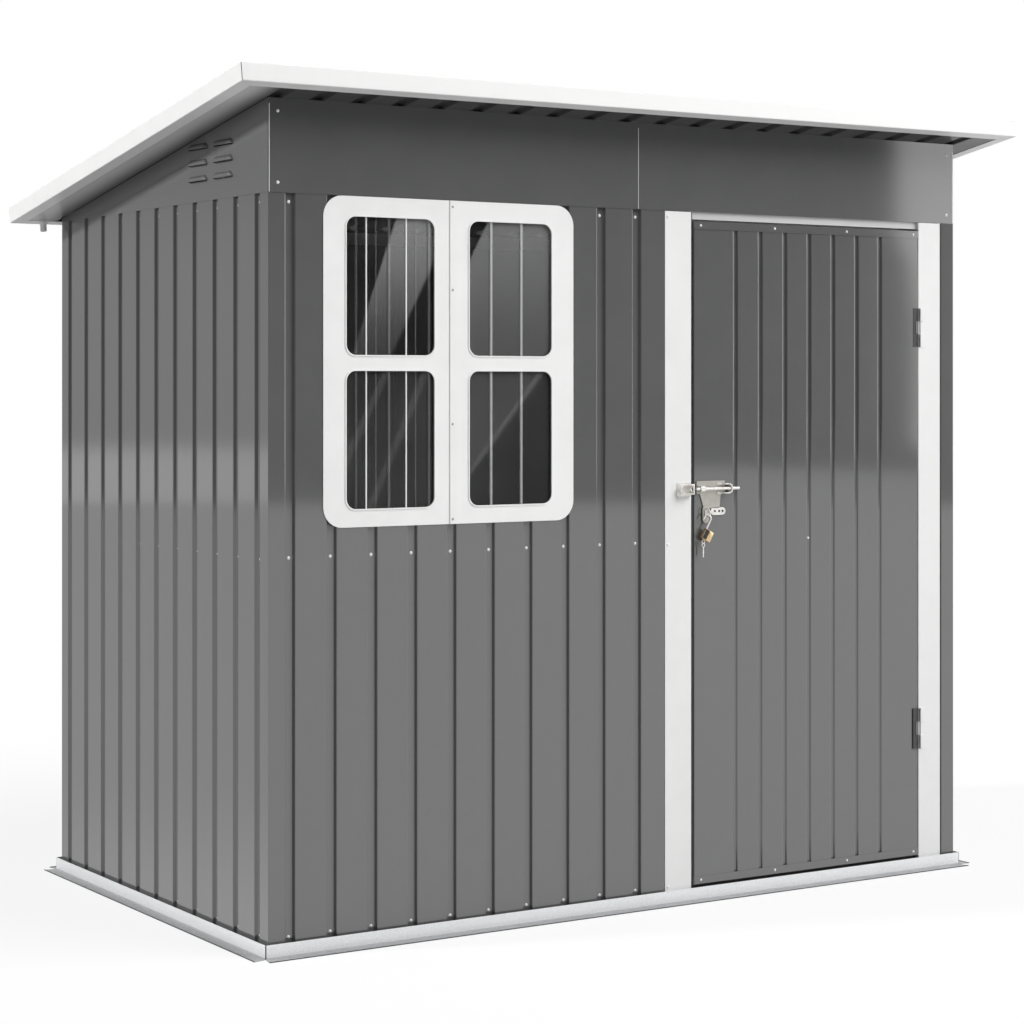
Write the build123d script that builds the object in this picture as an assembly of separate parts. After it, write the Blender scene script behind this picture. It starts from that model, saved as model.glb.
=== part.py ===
"""Metal storage shed with a pent roof, a four-pane window and one hinged door.

Millimetres. +X runs along the front, +Y to the back, +Z up. The origin is on the
ground, at the middle of the roof's outline.
"""

import os
from math import atan2, cos, radians, sin, tan

from build123d import *

# Walls
WALL_WIDTH = 1900
WALL_DEPTH = 1120
WALL_TOP = 1593
WALL_LAP = 12
SHEET = 1.0
RIB_OPENING = 24
RIB_FLOOR = 16
RIB_DEPTH = 8
FRONT_RIB_FIRST = 51.7
FRONT_RIB_PITCH = 98.5
FRONT_RIBS = 10
SIDE_RIBS = 11
SIDE_RIB_PITCH = 101.75
BACK_RIBS = 19
BACK_WALL_RISE = 30

# Posts and rails behind the ribs
ANGLE_THICKNESS = 1.5
POST_LEG = 32
RAIL_CLEARANCE = 34
RAIL_DEPTH = 20
HEADER_RAIL_DEPTH = 24
HEADER_RAIL_Z = 1700
MID_RAIL_Z = 826
MID_RAIL_HEIGHT = 30

# Roof
ROOF_SLOPE = 9.6
OVERHANG_SIDE = 112
OVERHANG_FRONT = 107
OVERHANG_BACK = 67
EAVE_Z = 1807
TRIM_HEIGHT = 39
TRIM_FLANGE = 34.5
TRIM_CAP = 22
ROOF_RIB_PITCH = 98.5
ROOF_RIB_BASE = 34
ROOF_RIB_CREST = 22
ROOF_RIB_HEIGHT = 9
ROOF_BEAM = 30
ROOF_BEAM_FLANGE = 18

# Base rail
RAIL_HEIGHT = 30
RAIL_STANDOFF = 11
RAIL_TOE = 28
RAIL_HEEL = 26
FOOT_GAP = 2

# Window, from the front left corner of the walls
WINDOW_X0 = 128.8
WINDOW_X1 = 762.2
WINDOW_Z0 = 889.7
WINDOW_Z1 = 1592.5
WINDOW_LAP_X = 439.1
WINDOW_LAP = 12
LAP_STRIP = 20
WINDOW_CORNER = 45
FRAME_THICKNESS = 2
PANE_X = ((183.9, 400.0), (489.1, 703.2))
PANE_Z = ((928.3, 1221.6), (1255.7, 1549.5))
PANE_CORNER = 22
PANE_LIP = 3
LIP_HEIGHT = 1.5
GLAZING = 1.5
GLAZING_MARGIN = 11
CUTOUT_MARGIN = 20

# Doorway and door, from the front left corner of the walls
HEADER_SEAM_X = 944
JAMB_LEFT_X0 = 1016.3
JAMB_LEFT_X1 = 1091.5
JAMB_RIGHT_X0 = 1789.5
JAMB_RIGHT_X1 = 1857.4
JAMB_THICKNESS = 1.2
JAMB_RETURN = 35
JAMB_LAP = 20
CORNER_WING = 30
DOOR_X0 = 1096.5
DOOR_X1 = 1784.5
DOOR_Z0 = 35
DOOR_Z1 = 1571
DOOR_THICKNESS = 22
DOOR_GAP = 5
DOOR_RIBS = 7
DOOR_RIB_FIRST = 1221.8
DOOR_RIB_PITCH = 73.65
DOOR_RIB_OPENING = 11
DOOR_RIB_FLOOR = 6
DOOR_RIB_DEPTH = 5
DOOR_FOLD = 20
CAP_HEIGHT = 18
CAP_PROUD = 1.2
STILE = 22
STILE_TAB = 10
HEAD_SET_BACK = 6
HEAD_STOP_LAP = 10

# Hinges
HINGE_Z = ((296.8, 395.9), (1285.6, 1380.9))
HINGE_LEAF = 13
HINGE_LEAF_THICKNESS = 1.5
HINGE_LEAF_GAP = 0.6
JAMB_LEAF = 14.5
KNUCKLE_RADIUS = 4.5
KNUCKLE_NECK = 2.5
KNUCKLE_GAP = 0.3
PIN_RADIUS = 2
PIN_FIT = 0.05

# Louvres in the gables, from the front corner and from the ground
LOUVRE_LENGTH = 90
LOUVRE_RADIUS = 12
LOUVRE_LEVELS = ((0, 0), (3, 5), (8, 8))
LOUVRE_STEPS = 3
LOUVRE_COLUMNS = (210, 335)
LOUVRE_ROWS = (1638, 1673, 1708)
SLOT_INSET = 8
SLOT_HEIGHT = 9

# Slide bolt on the door, from the front left corner of the walls
LATCH_Z = 951
ROD_RADIUS = 3.5
ROD_FIT = 0.5
ROD_X0 = 1100
ROD_X1 = 1225
ROD_STANDOFF = 8.5
PLATE_THICKNESS = 1.5
PLATE_X = (1106, 1188)
PLATE_Z = (939, 969)
TONGUE_TOP_X = (1116, 1177)
TONGUE_FOOT_X = (1127, 1172)
TONGUE_FOOT_Z = 905
GUIDE_BAR = 3
GUIDE_HALF_HEIGHT = 12
GUIDE_PROUD = 13.5
GUIDE_X = (1154, 1203)
COLLAR_X = (1111, 1123)
COLLAR_WALL = 2
KEEPER_X = (1050, 1090)
KEEPER_Z = (934, 966)
KEEPER_EYE = 9.5
TAB_X = (1147, 1190)
TAB_Z = (889, 907)
TAB_HOLES = (-9, 3, 13)
TAB_HOLE_RADIUS = 3

# Staple for the padlock, on a lug behind it
STAPLE_X = 1130
STAPLE_Z = 896
STAPLE_RING = 9
STAPLE_WIRE = 1.75
STAPLE_STANDOFF = 12
LUG_X = 1132
LUG_Z = 892
LUG_LENGTH = 42
LUG_WIDTH = 18

# Padlock hung from the staple by its open shackle
LOCK_WIDTH = 25
LOCK_HEIGHT = 25
LOCK_THICKNESS = 10
LOCK_CORNER = 2
LOCK_TILT = 22.5
SHACKLE_WIRE = 2
SHACKLE_BEND = 7
SHACKLE_LEG = 23
SHACKLE_TIP = 8
SHACKLE_SEAT = 10
SHACKLE_INSET = 4
SHACKLE_PLAY = 0.25
WIRE_SIDES = 6
RING_SIDES = 16
KEY_RING = 4
KEY_RING_WIRE = 1
KEY_RING_DROPS = (5.4, 14)
KEY_SHAFT_DROPS = (18, 42)
KEY_SHAFT = 1.5

# Drain spout under the back trim, from the middle of the roof
SPOUT_X = -982
SPOUT_RADIUS = 8
SPOUT_WALL = 2
SPOUT_LENGTH = 21

x_left = -WALL_WIDTH / 2
x_right = WALL_WIDTH / 2
roof_half_depth = (WALL_DEPTH + OVERHANG_FRONT + OVERHANG_BACK) / 2
y_front = OVERHANG_FRONT - roof_half_depth
y_back = y_front + WALL_DEPTH
slope = radians(ROOF_SLOPE)
roof_width = WALL_WIDTH + 2 * OVERHANG_SIDE
roof_length = (2 * roof_half_depth - TRIM_HEIGHT * sin(slope)) / cos(slope)
frame_inset = RIB_DEPTH + SHEET
foot_z = RAIL_HEIGHT + FOOT_GAP
hinge_x = x_left + (DOOR_X1 + JAMB_RIGHT_X0) / 2
hinge_y = y_front - KNUCKLE_RADIUS - HINGE_LEAF_THICKNESS
y_jamb = y_front - JAMB_THICKNESS
y_plate = y_front - PLATE_THICKNESS
roof_plane = Plane(
    origin=(0, -roof_half_depth, EAVE_Z),
    x_dir=(1, 0, 0),
    z_dir=(0, sin(slope), cos(slope)),
)
front_plane = Plane(origin=(x_left, y_front, 0), x_dir=(1, 0, 0), z_dir=(0, -1, 0))

os.makedirs("parts", exist_ok=True)


def save(name, *solids):
    """Writes one piece, or like pieces that share a name."""
    shapes = [solid for piece in solids for solid in piece.solids()]
    shape = shapes[0] if len(shapes) == 1 else Compound(children=shapes)
    shape.label = name
    export_step(shape, f"parts/{name}.step")


def block(x0, x1, y0, y1, z0, z1):
    """A straight block between two corners."""
    size = (x1 - x0, y1 - y0, z1 - z0)
    low = (min(x0, x1), min(y0, y1), min(z0, z1))
    lowest = (Align.MIN, Align.MIN, Align.MIN)
    return Pos(*low) * Box(*(abs(side) for side in size), align=lowest)


def upright(radius, z0, z1):
    """A round bar along Z between two heights."""
    lowest = (Align.CENTER, Align.CENTER, Align.MIN)
    return Pos(0, 0, z0) * Cylinder(radius, z1 - z0, align=lowest)


def front_x(distance):
    """X of a point measured along the front from the left corner."""
    return x_left + distance


def ribbed_outline(start, end, centres, opening, floor, depth, thickness):
    """Closed outline of a pressed sheet: outer skin along v=0, ribs pressed to +v."""
    spread = thickness * tan(atan2(depth, (opening - floor) / 2) / 2)

    def skin(extra, shift):
        points = [(start, shift)]
        for centre in centres:
            half_open = opening / 2 + extra
            half_floor = floor / 2 + extra
            points.append((centre - half_open, shift))
            points.append((centre - half_floor, depth + shift))
            points.append((centre + half_floor, depth + shift))
            points.append((centre + half_open, shift))
        points.append((end, shift))
        return points

    return skin(0, 0) + skin(spread, thickness)[::-1]


def pressed_sheet(plane, outline, length):
    """The outline extruded along the plane's normal."""
    face = plane * make_face(Polyline(*outline, close=True))
    return extrude(face, amount=length)


def wall_ribs(first, pitch, count, start, end):
    """Rib centres that lie on one sheet."""
    centres = [first + pitch * index for index in range(count)]
    half = RIB_OPENING / 2
    return [centre for centre in centres if start < centre - half and centre + half < end]


def under_roof(piece):
    """Cuts off what reaches above the underside of the roof sheet."""
    reach = roof_width
    cutter = roof_plane * block(-reach, reach, -reach, reach, SHEET, WALL_TOP)
    return piece - cutter


def rounded_slab(x0, x1, z0, z1, radius, y_out, thickness, side=None):
    """An upright plate, its outer face at y_out, round at all corners or on one side."""
    plane = Plane(origin=(0, y_out, 0), x_dir=(1, 0, 0), z_dir=(0, -1, 0))
    face = Rectangle(x1 - x0, z1 - z0)
    corners = face.vertices()
    if side == "left":
        corners = corners.group_by(Axis.X)[0]
    if side == "right":
        corners = corners.group_by(Axis.X)[-1]
    face = plane * (Pos((x0 + x1) / 2, (z0 + z1) / 2) * fillet(corners, radius))
    return extrude(face, amount=-thickness)


def front_sheet(start, end, bottom, top):
    """A ribbed sheet of the front wall between two distances and two heights."""
    ribs = wall_ribs(FRONT_RIB_FIRST, FRONT_RIB_PITCH, FRONT_RIBS, start, end)
    outline = ribbed_outline(start, end, ribs, RIB_OPENING, RIB_FLOOR, RIB_DEPTH, SHEET)
    plane = Plane(origin=(x_left, y_front, bottom), x_dir=(1, 0, 0), z_dir=(0, 0, 1))
    return pressed_sheet(plane, outline, top - bottom)


def side_sheet(side, start, end):
    """A ribbed sheet of a side wall, from start to end behind the front corner."""
    first = (WALL_DEPTH - SIDE_RIB_PITCH * (SIDE_RIBS - 1)) / 2
    ribs = wall_ribs(first, SIDE_RIB_PITCH, SIDE_RIBS, start, end)
    outline = ribbed_outline(start, end, ribs, RIB_OPENING, RIB_FLOOR, RIB_DEPTH, SHEET)
    if side < 0:
        outline = [(-along, across) for along, across in outline]
        plane = Plane(origin=(x_left, y_front, SHEET), x_dir=(0, -1, 0), z_dir=(0, 0, 1))
    else:
        plane = Plane(origin=(x_right, y_front, SHEET), x_dir=(0, 1, 0), z_dir=(0, 0, 1))
    return under_roof(pressed_sheet(plane, outline, WALL_TOP + WALL_LAP - SHEET))


def back_sheet(start, end):
    """A ribbed sheet of the back wall, measured from the right corner seen from behind."""
    first = (WALL_WIDTH - FRONT_RIB_PITCH * (BACK_RIBS - 1)) / 2
    ribs = wall_ribs(first, FRONT_RIB_PITCH, BACK_RIBS, start, end)
    outline = ribbed_outline(start, end, ribs, RIB_OPENING, RIB_FLOOR, RIB_DEPTH, SHEET)
    plane = Plane(origin=(x_right, y_back, SHEET), x_dir=(-1, 0, 0), z_dir=(0, 0, 1))
    return under_roof(pressed_sheet(plane, outline, WALL_TOP + BACK_WALL_RISE))


def mitred_bar(length, y0, y1, z0, z1):
    """A flat bar along +X from 0, between y0 and y1, its ends cut on the corner diagonals."""
    outline = [(y0, y0), (length - y0, y0), (length - y1, y1), (y1, y1)]
    face = Pos(0, 0, z0) * make_face(Polyline(*outline, close=True))
    return extrude(face, amount=z1 - z0)


def base_rail(length):
    """Rail profile: a foot on the ground, out past the wall and in under it, and a web."""
    foot = mitred_bar(length, -RAIL_STANDOFF - RAIL_TOE, RAIL_HEEL, 0, SHEET)
    web = mitred_bar(length, -RAIL_STANDOFF, SHEET - RAIL_STANDOFF, SHEET, RAIL_HEIGHT)
    return foot + web


def base_rails():
    """Four galvanised rails that meet on the diagonals of the corners."""
    across = base_rail(WALL_WIDTH)
    along = base_rail(WALL_DEPTH)
    save("base_rail_front", Pos(x_left, y_front, 0) * across)
    save("base_rail_back", Pos(x_right, y_back, 0) * Rot(0, 0, 180) * across)
    save("base_rail_left", Pos(x_left, y_back, 0) * Rot(0, 0, -90) * along)
    save("base_rail_right", Pos(x_right, y_front, 0) * Rot(0, 0, 90) * along)


def walls():
    """Pressed wall sheets, standing on the heels of the base rails."""
    top = WALL_TOP + WALL_LAP
    sill = WINDOW_Z0 + CUTOUT_MARGIN
    seam_left = FRONT_RIB_FIRST + 1.5 * FRONT_RIB_PITCH
    seam_right = FRONT_RIB_FIRST + 6.5 * FRONT_RIB_PITCH
    cutout = block(
        front_x(WINDOW_X0 + CUTOUT_MARGIN),
        front_x(WINDOW_X1 - CUTOUT_MARGIN),
        y_front,
        y_front + frame_inset,
        sill,
        top,
    )
    save("front_wall_left", front_sheet(0, seam_left, SHEET, top) - cutout)
    save("front_wall_under_window", front_sheet(seam_left, seam_right, SHEET, sill))
    wall_end = JAMB_LEFT_X0 + JAMB_LAP
    save("front_wall_beside_door", front_sheet(seam_right, wall_end, SHEET, top) - cutout)
    side_seam = (WALL_DEPTH + SIDE_RIB_PITCH) / 2
    for side, name in ((-1, "left"), (1, "right")):
        save(f"{name}_wall_front", side_sheet(side, SHEET, side_seam))
        save(f"{name}_wall_rear", side_sheet(side, side_seam, WALL_DEPTH - SHEET))
    back_seam = (WALL_WIDTH + FRONT_RIB_PITCH) / 2
    save("back_wall_right", back_sheet(0, back_seam))
    save("back_wall_left", back_sheet(back_seam, WALL_WIDTH))


def corner_posts():
    """Angle posts inside the four corners, just behind the pressed ribs."""
    posts = []
    for side in (-1, 1):
        x = side * (WALL_WIDTH / 2 - frame_inset)
        x_leg = x - side * POST_LEG
        x_web = x - side * ANGLE_THICKNESS
        for y, inward, top in (
            (y_front + frame_inset, 1, EAVE_Z),
            (y_back - frame_inset, -1, WALL_TOP),
        ):
            leg = block(x, x_leg, y, y + inward * ANGLE_THICKNESS, SHEET, top)
            web = block(x, x_web, y, y + inward * POST_LEG, SHEET, top)
            posts.append(under_roof(leg + web))
    save("corner_posts", *posts)


def rails():
    """Top and middle rails behind the ribs, between the corner posts."""
    clear = frame_inset + RAIL_CLEARANCE
    jamb_x = front_x(JAMB_LEFT_X0)

    def along_x(x0, x1, y, inward, z0):
        web = block(x0, x1, y, y + inward * ANGLE_THICKNESS, z0, z0 + MID_RAIL_HEIGHT)
        shelf = block(x0, x1, y, y + inward * RAIL_DEPTH, z0, z0 + ANGLE_THICKNESS)
        return web + shelf

    def along_y(x, inward, z0):
        y0 = y_front + clear
        y1 = y_back - clear
        web = block(x, x + inward * ANGLE_THICKNESS, y0, y1, z0, z0 + MID_RAIL_HEIGHT)
        shelf = block(x, x + inward * RAIL_DEPTH, y0, y1, z0, z0 + ANGLE_THICKNESS)
        return web + shelf

    top_z = WALL_TOP - MID_RAIL_HEIGHT
    mid_z = MID_RAIL_Z - MID_RAIL_HEIGHT / 2
    for name, z0 in (("top_rails", top_z), ("mid_rails", mid_z)):
        pieces = [
            along_x(x_left + clear, x_right - clear, y_back - frame_inset, -1, z0),
            along_x(x_left + clear, jamb_x, y_front + frame_inset, 1, z0),
            along_y(x_left + frame_inset, 1, z0),
            along_y(x_right - frame_inset, -1, z0),
        ]
        save(name, *pieces)


def headers():
    """The smooth band over the window and the door: two flat sheets and a rail behind."""
    seam = front_x(HEADER_SEAM_X)
    for name, x0, x1 in (("header_left", x_left, seam), ("header_right", seam, x_right)):
        save(name, under_roof(block(x0, x1, y_front - SHEET, y_front, WALL_TOP, EAVE_Z)))
    clear = frame_inset + RAIL_CLEARANCE
    x0 = x_left + clear
    x1 = x_right - clear
    shelf_top = HEADER_RAIL_Z + ANGLE_THICKNESS
    web = block(x0, x1, y_front, y_front + SHEET, HEADER_RAIL_Z, EAVE_Z)
    shelf = block(x0, x1, y_front, y_front + HEADER_RAIL_DEPTH, HEADER_RAIL_Z, shelf_top)
    save("header_rail", under_roof(web + shelf))


def louvre_outline(inset, depth):
    """The upper half of a round-ended slot in flat steps, set in all round, out at a depth."""
    radius = LOUVRE_RADIUS - inset
    half_span = LOUVRE_LENGTH / 2 - LOUVRE_RADIUS
    turns = [radians(90 * step / LOUVRE_STEPS) for step in range(LOUVRE_STEPS + 1)]
    end = [(half_span + radius * cos(turn), -depth, radius * sin(turn)) for turn in turns]
    points = end + [(-x, y, z) for x, y, z in reversed(end)]
    return make_face(Polyline(*points, close=True))


def louvre_bulge(wall):
    """The form of a pressed louvre, or with a wall the space inside its sheet."""
    outlines = [
        louvre_outline(inset + wall, max(depth - wall, 0)) for inset, depth in LOUVRE_LEVELS
    ]
    return loft(outlines[:2], ruled=True) + loft(outlines[1:], ruled=True)


def louvre_hood():
    """A pressed hood along X that faces -Y, open only below."""
    return louvre_bulge(0) - louvre_bulge(SHEET)


def gables():
    """Smooth sheets that close the sides under the roof, each with pressed louvres."""
    hood = louvre_hood()
    slot_half = LOUVRE_LENGTH / 2 - SLOT_INSET
    for side, name in ((-1, "gable_left"), (1, "gable_right")):
        inner = side * WALL_WIDTH / 2
        outer = inner + side * SHEET
        sheet = under_roof(block(inner, outer, y_front, y_back, WALL_TOP, EAVE_Z))
        for column in LOUVRE_COLUMNS:
            y = y_front + column
            for row in LOUVRE_ROWS:
                sheet -= block(inner, outer, y - slot_half, y + slot_half, row, row + SLOT_HEIGHT)
                sheet += Pos(outer, y, row) * Rot(0, 0, side * 90) * hood
        save(name, sheet)


def corner_strip():
    """Folded strip over the front right corner, beside the door frame."""
    x0 = front_x(JAMB_RIGHT_X1)
    x1 = x_right + JAMB_THICKNESS
    face = block(x0, x1, y_jamb, y_front, foot_z, WALL_TOP)
    wing = block(x_right, x1, y_front, y_front + CORNER_WING, foot_z, WALL_TOP)
    save("corner_strip", face + wing)


def window_half(x0, x1, panes, side):
    """One moulded half of the window frame: its outer corners round, its panes lipped."""
    y_face = y_front - FRAME_THICKNESS
    half = rounded_slab(
        x0, x1, WINDOW_Z0, WINDOW_Z1, WINDOW_CORNER, y_face, FRAME_THICKNESS, side
    )
    pane_x0 = front_x(panes[0])
    pane_x1 = front_x(panes[1])
    y_lip = y_face - LIP_HEIGHT
    for z0, z1 in PANE_Z:
        half += rounded_slab(
            pane_x0 - PANE_LIP,
            pane_x1 + PANE_LIP,
            z0 - PANE_LIP,
            z1 + PANE_LIP,
            PANE_CORNER + PANE_LIP,
            y_lip,
            LIP_HEIGHT,
        )
        depth = LIP_HEIGHT + FRAME_THICKNESS
        half -= rounded_slab(pane_x0, pane_x1, z0, z1, PANE_CORNER, y_lip, depth)
    return half


def window():
    """Two moulded frame halves that lap at the middle, and their clear sheets."""
    lap_x0 = front_x(WINDOW_LAP_X)
    lap_x1 = lap_x0 + WINDOW_LAP
    left = window_half(front_x(WINDOW_X0), lap_x1, PANE_X[0], "left")
    right = window_half(lap_x1, front_x(WINDOW_X1), PANE_X[1], "right")
    y_face = y_front - FRAME_THICKNESS
    y_lap = y_face - FRAME_THICKNESS
    right += block(lap_x0, lap_x0 + LAP_STRIP, y_lap, y_face, WINDOW_Z0, WINDOW_Z1)
    save("window_frame_left", left)
    save("window_frame_right", right)
    z0 = PANE_Z[0][0] - GLAZING_MARGIN
    z1 = PANE_Z[1][1] + GLAZING_MARGIN
    sheets = []
    for pane_x0, pane_x1 in PANE_X:
        x0 = front_x(pane_x0 - GLAZING_MARGIN)
        x1 = front_x(pane_x1 + GLAZING_MARGIN)
        sheets.append(block(x0, x1, y_front, y_front + GLAZING, z0, z1))
    save("window_glazing", *sheets)


def door_frame():
    """White jambs folded round the doorway, and the head rail set back over the door."""
    z1 = WALL_TOP - SHEET
    y_return = y_front + JAMB_RETURN
    left_x1 = front_x(JAMB_LEFT_X1)
    right_x0 = front_x(JAMB_RIGHT_X0)
    x_fold = x_right - 2 * SHEET
    left = block(front_x(JAMB_LEFT_X0), left_x1, y_jamb, y_front, foot_z, z1)
    left += block(left_x1 - JAMB_THICKNESS, left_x1, y_front, y_return, foot_z, z1)
    right = block(right_x0, front_x(JAMB_RIGHT_X1), y_jamb, y_front, foot_z, z1)
    right += block(right_x0, right_x0 + JAMB_THICKNESS, y_front, y_return, foot_z, z1)
    right += block(right_x0, x_fold, y_front, y_front + SHEET, foot_z, z1)
    save("door_jamb_left", left)
    save("door_jamb_right", right)
    head_z = DOOR_Z1 + DOOR_GAP
    y_head = y_front + HEAD_SET_BACK
    y_stop = y_front + DOOR_THICKNESS + DOOR_GAP + SHEET
    y_rear = y_stop + SHEET
    head = block(left_x1, right_x0, y_head, y_head + SHEET, head_z, HEADER_RAIL_Z)
    head += block(left_x1, right_x0, y_head, y_rear, head_z, head_z + SHEET)
    head += block(left_x1, right_x0, y_stop, y_rear, DOOR_Z1 - HEAD_STOP_LAP, head_z)
    save("door_head", head)


def door_leaf():
    """Pressed sheet of the door, its two upright edges folded back and in."""
    centres = [DOOR_RIB_FIRST - DOOR_X0 + DOOR_RIB_PITCH * index for index in range(DOOR_RIBS)]
    outline = ribbed_outline(
        0,
        DOOR_X1 - DOOR_X0,
        centres,
        DOOR_RIB_OPENING,
        DOOR_RIB_FLOOR,
        DOOR_RIB_DEPTH,
        SHEET,
    )
    z0 = DOOR_Z0 + SHEET
    z1 = DOOR_Z1 - SHEET
    y1 = y_front + DOOR_THICKNESS
    plane = Plane(origin=(front_x(DOOR_X0), y_front, z0), x_dir=(1, 0, 0), z_dir=(0, 0, 1))
    leaf = pressed_sheet(plane, outline, z1 - z0)
    for edge, inward in ((front_x(DOOR_X0), 1), (front_x(DOOR_X1), -1)):
        leaf += block(edge, edge + inward * SHEET, y_front + SHEET, y1, z0, z1)
        leaf += block(edge, edge + inward * DOOR_FOLD, y1 - SHEET, y1, z0, z1)
    return leaf


def door():
    """The door: its leaf, a channel cap on the top and the bottom, and a middle rail."""
    save("door_panel", door_leaf())
    x0 = front_x(DOOR_X0)
    x1 = front_x(DOOR_X1)
    y1 = y_front + DOOR_THICKNESS
    cap_x0 = x0 - SHEET
    cap_x1 = x1 + SHEET
    for name, z, inward in (("door_top_cap", DOOR_Z1, -1), ("door_bottom_cap", DOOR_Z0, 1)):
        z_leg = z + inward * CAP_HEIGHT
        face = block(cap_x0, cap_x1, y_front - CAP_PROUD, y_front, z, z_leg)
        web = block(cap_x0, cap_x1, y_front, y1, z, z + inward * SHEET)
        rear = block(cap_x0, cap_x1, y1, y1 + SHEET, z, z_leg)
        save(name, face + web + rear)
    z0 = MID_RAIL_Z - MID_RAIL_HEIGHT / 2
    z1 = z0 + MID_RAIL_HEIGHT
    y_rib = y_front + DOOR_RIB_DEPTH + SHEET
    rail = block(x0 + STILE, x1 - STILE, y1 - SHEET, y1, z0, z1)
    rail += block(x0 + STILE, x1 - STILE, y_rib, y1 - SHEET, z0, z0 + SHEET)
    tab = STILE + STILE_TAB
    for end, inward in ((x0 + SHEET, 1), (x1 - SHEET, -1)):
        rail += block(end, end + inward * tab, y1 - 2 * SHEET, y1 - SHEET, z0, z1)
    save("door_mid_rail", rail)


def knuckle(z0, z1):
    """One rolled knuckle on the hinge's axis, short of both heights by the running gap."""
    axis = Pos(hinge_x, hinge_y, 0)
    return axis * upright(KNUCKLE_RADIUS, z0 + KNUCKLE_GAP, z1 - KNUCKLE_GAP)


def hinges():
    """Two butt hinges: three knuckles each, and a pin fixed in the jamb's knuckles."""
    axis = Pos(hinge_x, hinge_y, 0)
    y_leaf = y_front - HINGE_LEAF_THICKNESS
    y_jamb_leaf = y_jamb - HINGE_LEAF_THICKNESS
    leaf_x = hinge_x - KNUCKLE_RADIUS - HINGE_LEAF_GAP
    door_pieces = []
    jamb_pieces = []
    for z0, z1 in HINGE_Z:
        third = (z1 - z0) / 3
        low = z0 + third
        high = z1 - third
        neck_z0 = low + KNUCKLE_GAP
        neck_z1 = high - KNUCKLE_GAP
        rolled = knuckle(low, high)
        rolled += block(leaf_x, hinge_x, y_leaf, y_front, neck_z0, neck_z1)
        rolled += block(hinge_x - KNUCKLE_NECK, hinge_x, hinge_y, y_front, neck_z0, neck_z1)
        rolled -= axis * upright(PIN_RADIUS + PIN_FIT, low, high)
        leaf = block(leaf_x - HINGE_LEAF, leaf_x, y_leaf, y_front, z0, z1)
        door_pieces.append(leaf + rolled)
        pinned = axis * upright(PIN_RADIUS, z0 + KNUCKLE_GAP, z1 - KNUCKLE_GAP)
        for start, end in ((z0, low), (high, z1)):
            neck_z0 = start + KNUCKLE_GAP
            neck_z1 = end - KNUCKLE_GAP
            pinned += knuckle(start, end)
            pinned += block(hinge_x, hinge_x + KNUCKLE_NECK, hinge_y, y_jamb, neck_z0, neck_z1)
            pinned += block(hinge_x, hinge_x + JAMB_LEAF, y_jamb_leaf, y_jamb, neck_z0, neck_z1)
        jamb_pieces.append(pinned)
    save("hinge_leaves_door", *door_pieces)
    save("hinge_leaves_jamb", *jamb_pieces)


def guide(x0, x1, y_face, closed):
    """A flat bar bent round the bolt: a closed loop, or a U whose legs run back to x0."""
    length = x1 - x0
    loop = SlotOverall(length, 2 * GUIDE_HALF_HEIGHT)
    loop -= SlotOverall(length - 2 * GUIDE_BAR, 2 * (GUIDE_HALF_HEIGHT - GUIDE_BAR))
    if not closed:
        loop -= Pos(-length / 2, 0) * Rectangle(2 * GUIDE_HALF_HEIGHT, 4 * GUIDE_HALF_HEIGHT)
    middle = ((x0 + x1) / 2, y_face, LATCH_Z)
    plane = Plane(origin=middle, x_dir=(1, 0, 0), z_dir=(0, -1, 0))
    return extrude(plane * loop, amount=GUIDE_PROUD)


def rod(x0, x1, radius):
    """A round bar along X on the bolt's axis."""
    y = y_front - ROD_STANDOFF
    return Pos(x0, y, LATCH_Z) * Rot(0, 90, 0) * upright(radius, 0, x1 - x0)


def keeper():
    """The bolt's keeper on the jamb: a plate and a closed loop with an eye for the bolt."""
    x0 = front_x(KEEPER_X[0])
    x1 = front_x(KEEPER_X[1])
    y_face = y_jamb - PLATE_THICKNESS
    y_bolt = y_front - ROD_STANDOFF
    half = KEEPER_EYE / 2
    eye = block(
        (x0 + x1) / 2, x1, y_bolt - half, y_bolt + half, LATCH_Z - half, LATCH_Z + half
    )
    loop = guide(x0, x1, y_face, closed=True) - eye
    save("bolt_keeper", loop + block(x0, x1, y_face, y_jamb, *KEEPER_Z))


def staple():
    """The staple's ring, upright and square to the door."""
    section = Plane.XZ * (Pos(STAPLE_RING, 0) * RegularPolygon(STAPLE_WIRE, WIRE_SIDES))
    ring = Rot(0, 90, 0) * revolve(section, axis=Axis.Z)
    return Pos(front_x(STAPLE_X), y_front - STAPLE_STANDOFF, STAPLE_Z) * ring


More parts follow.
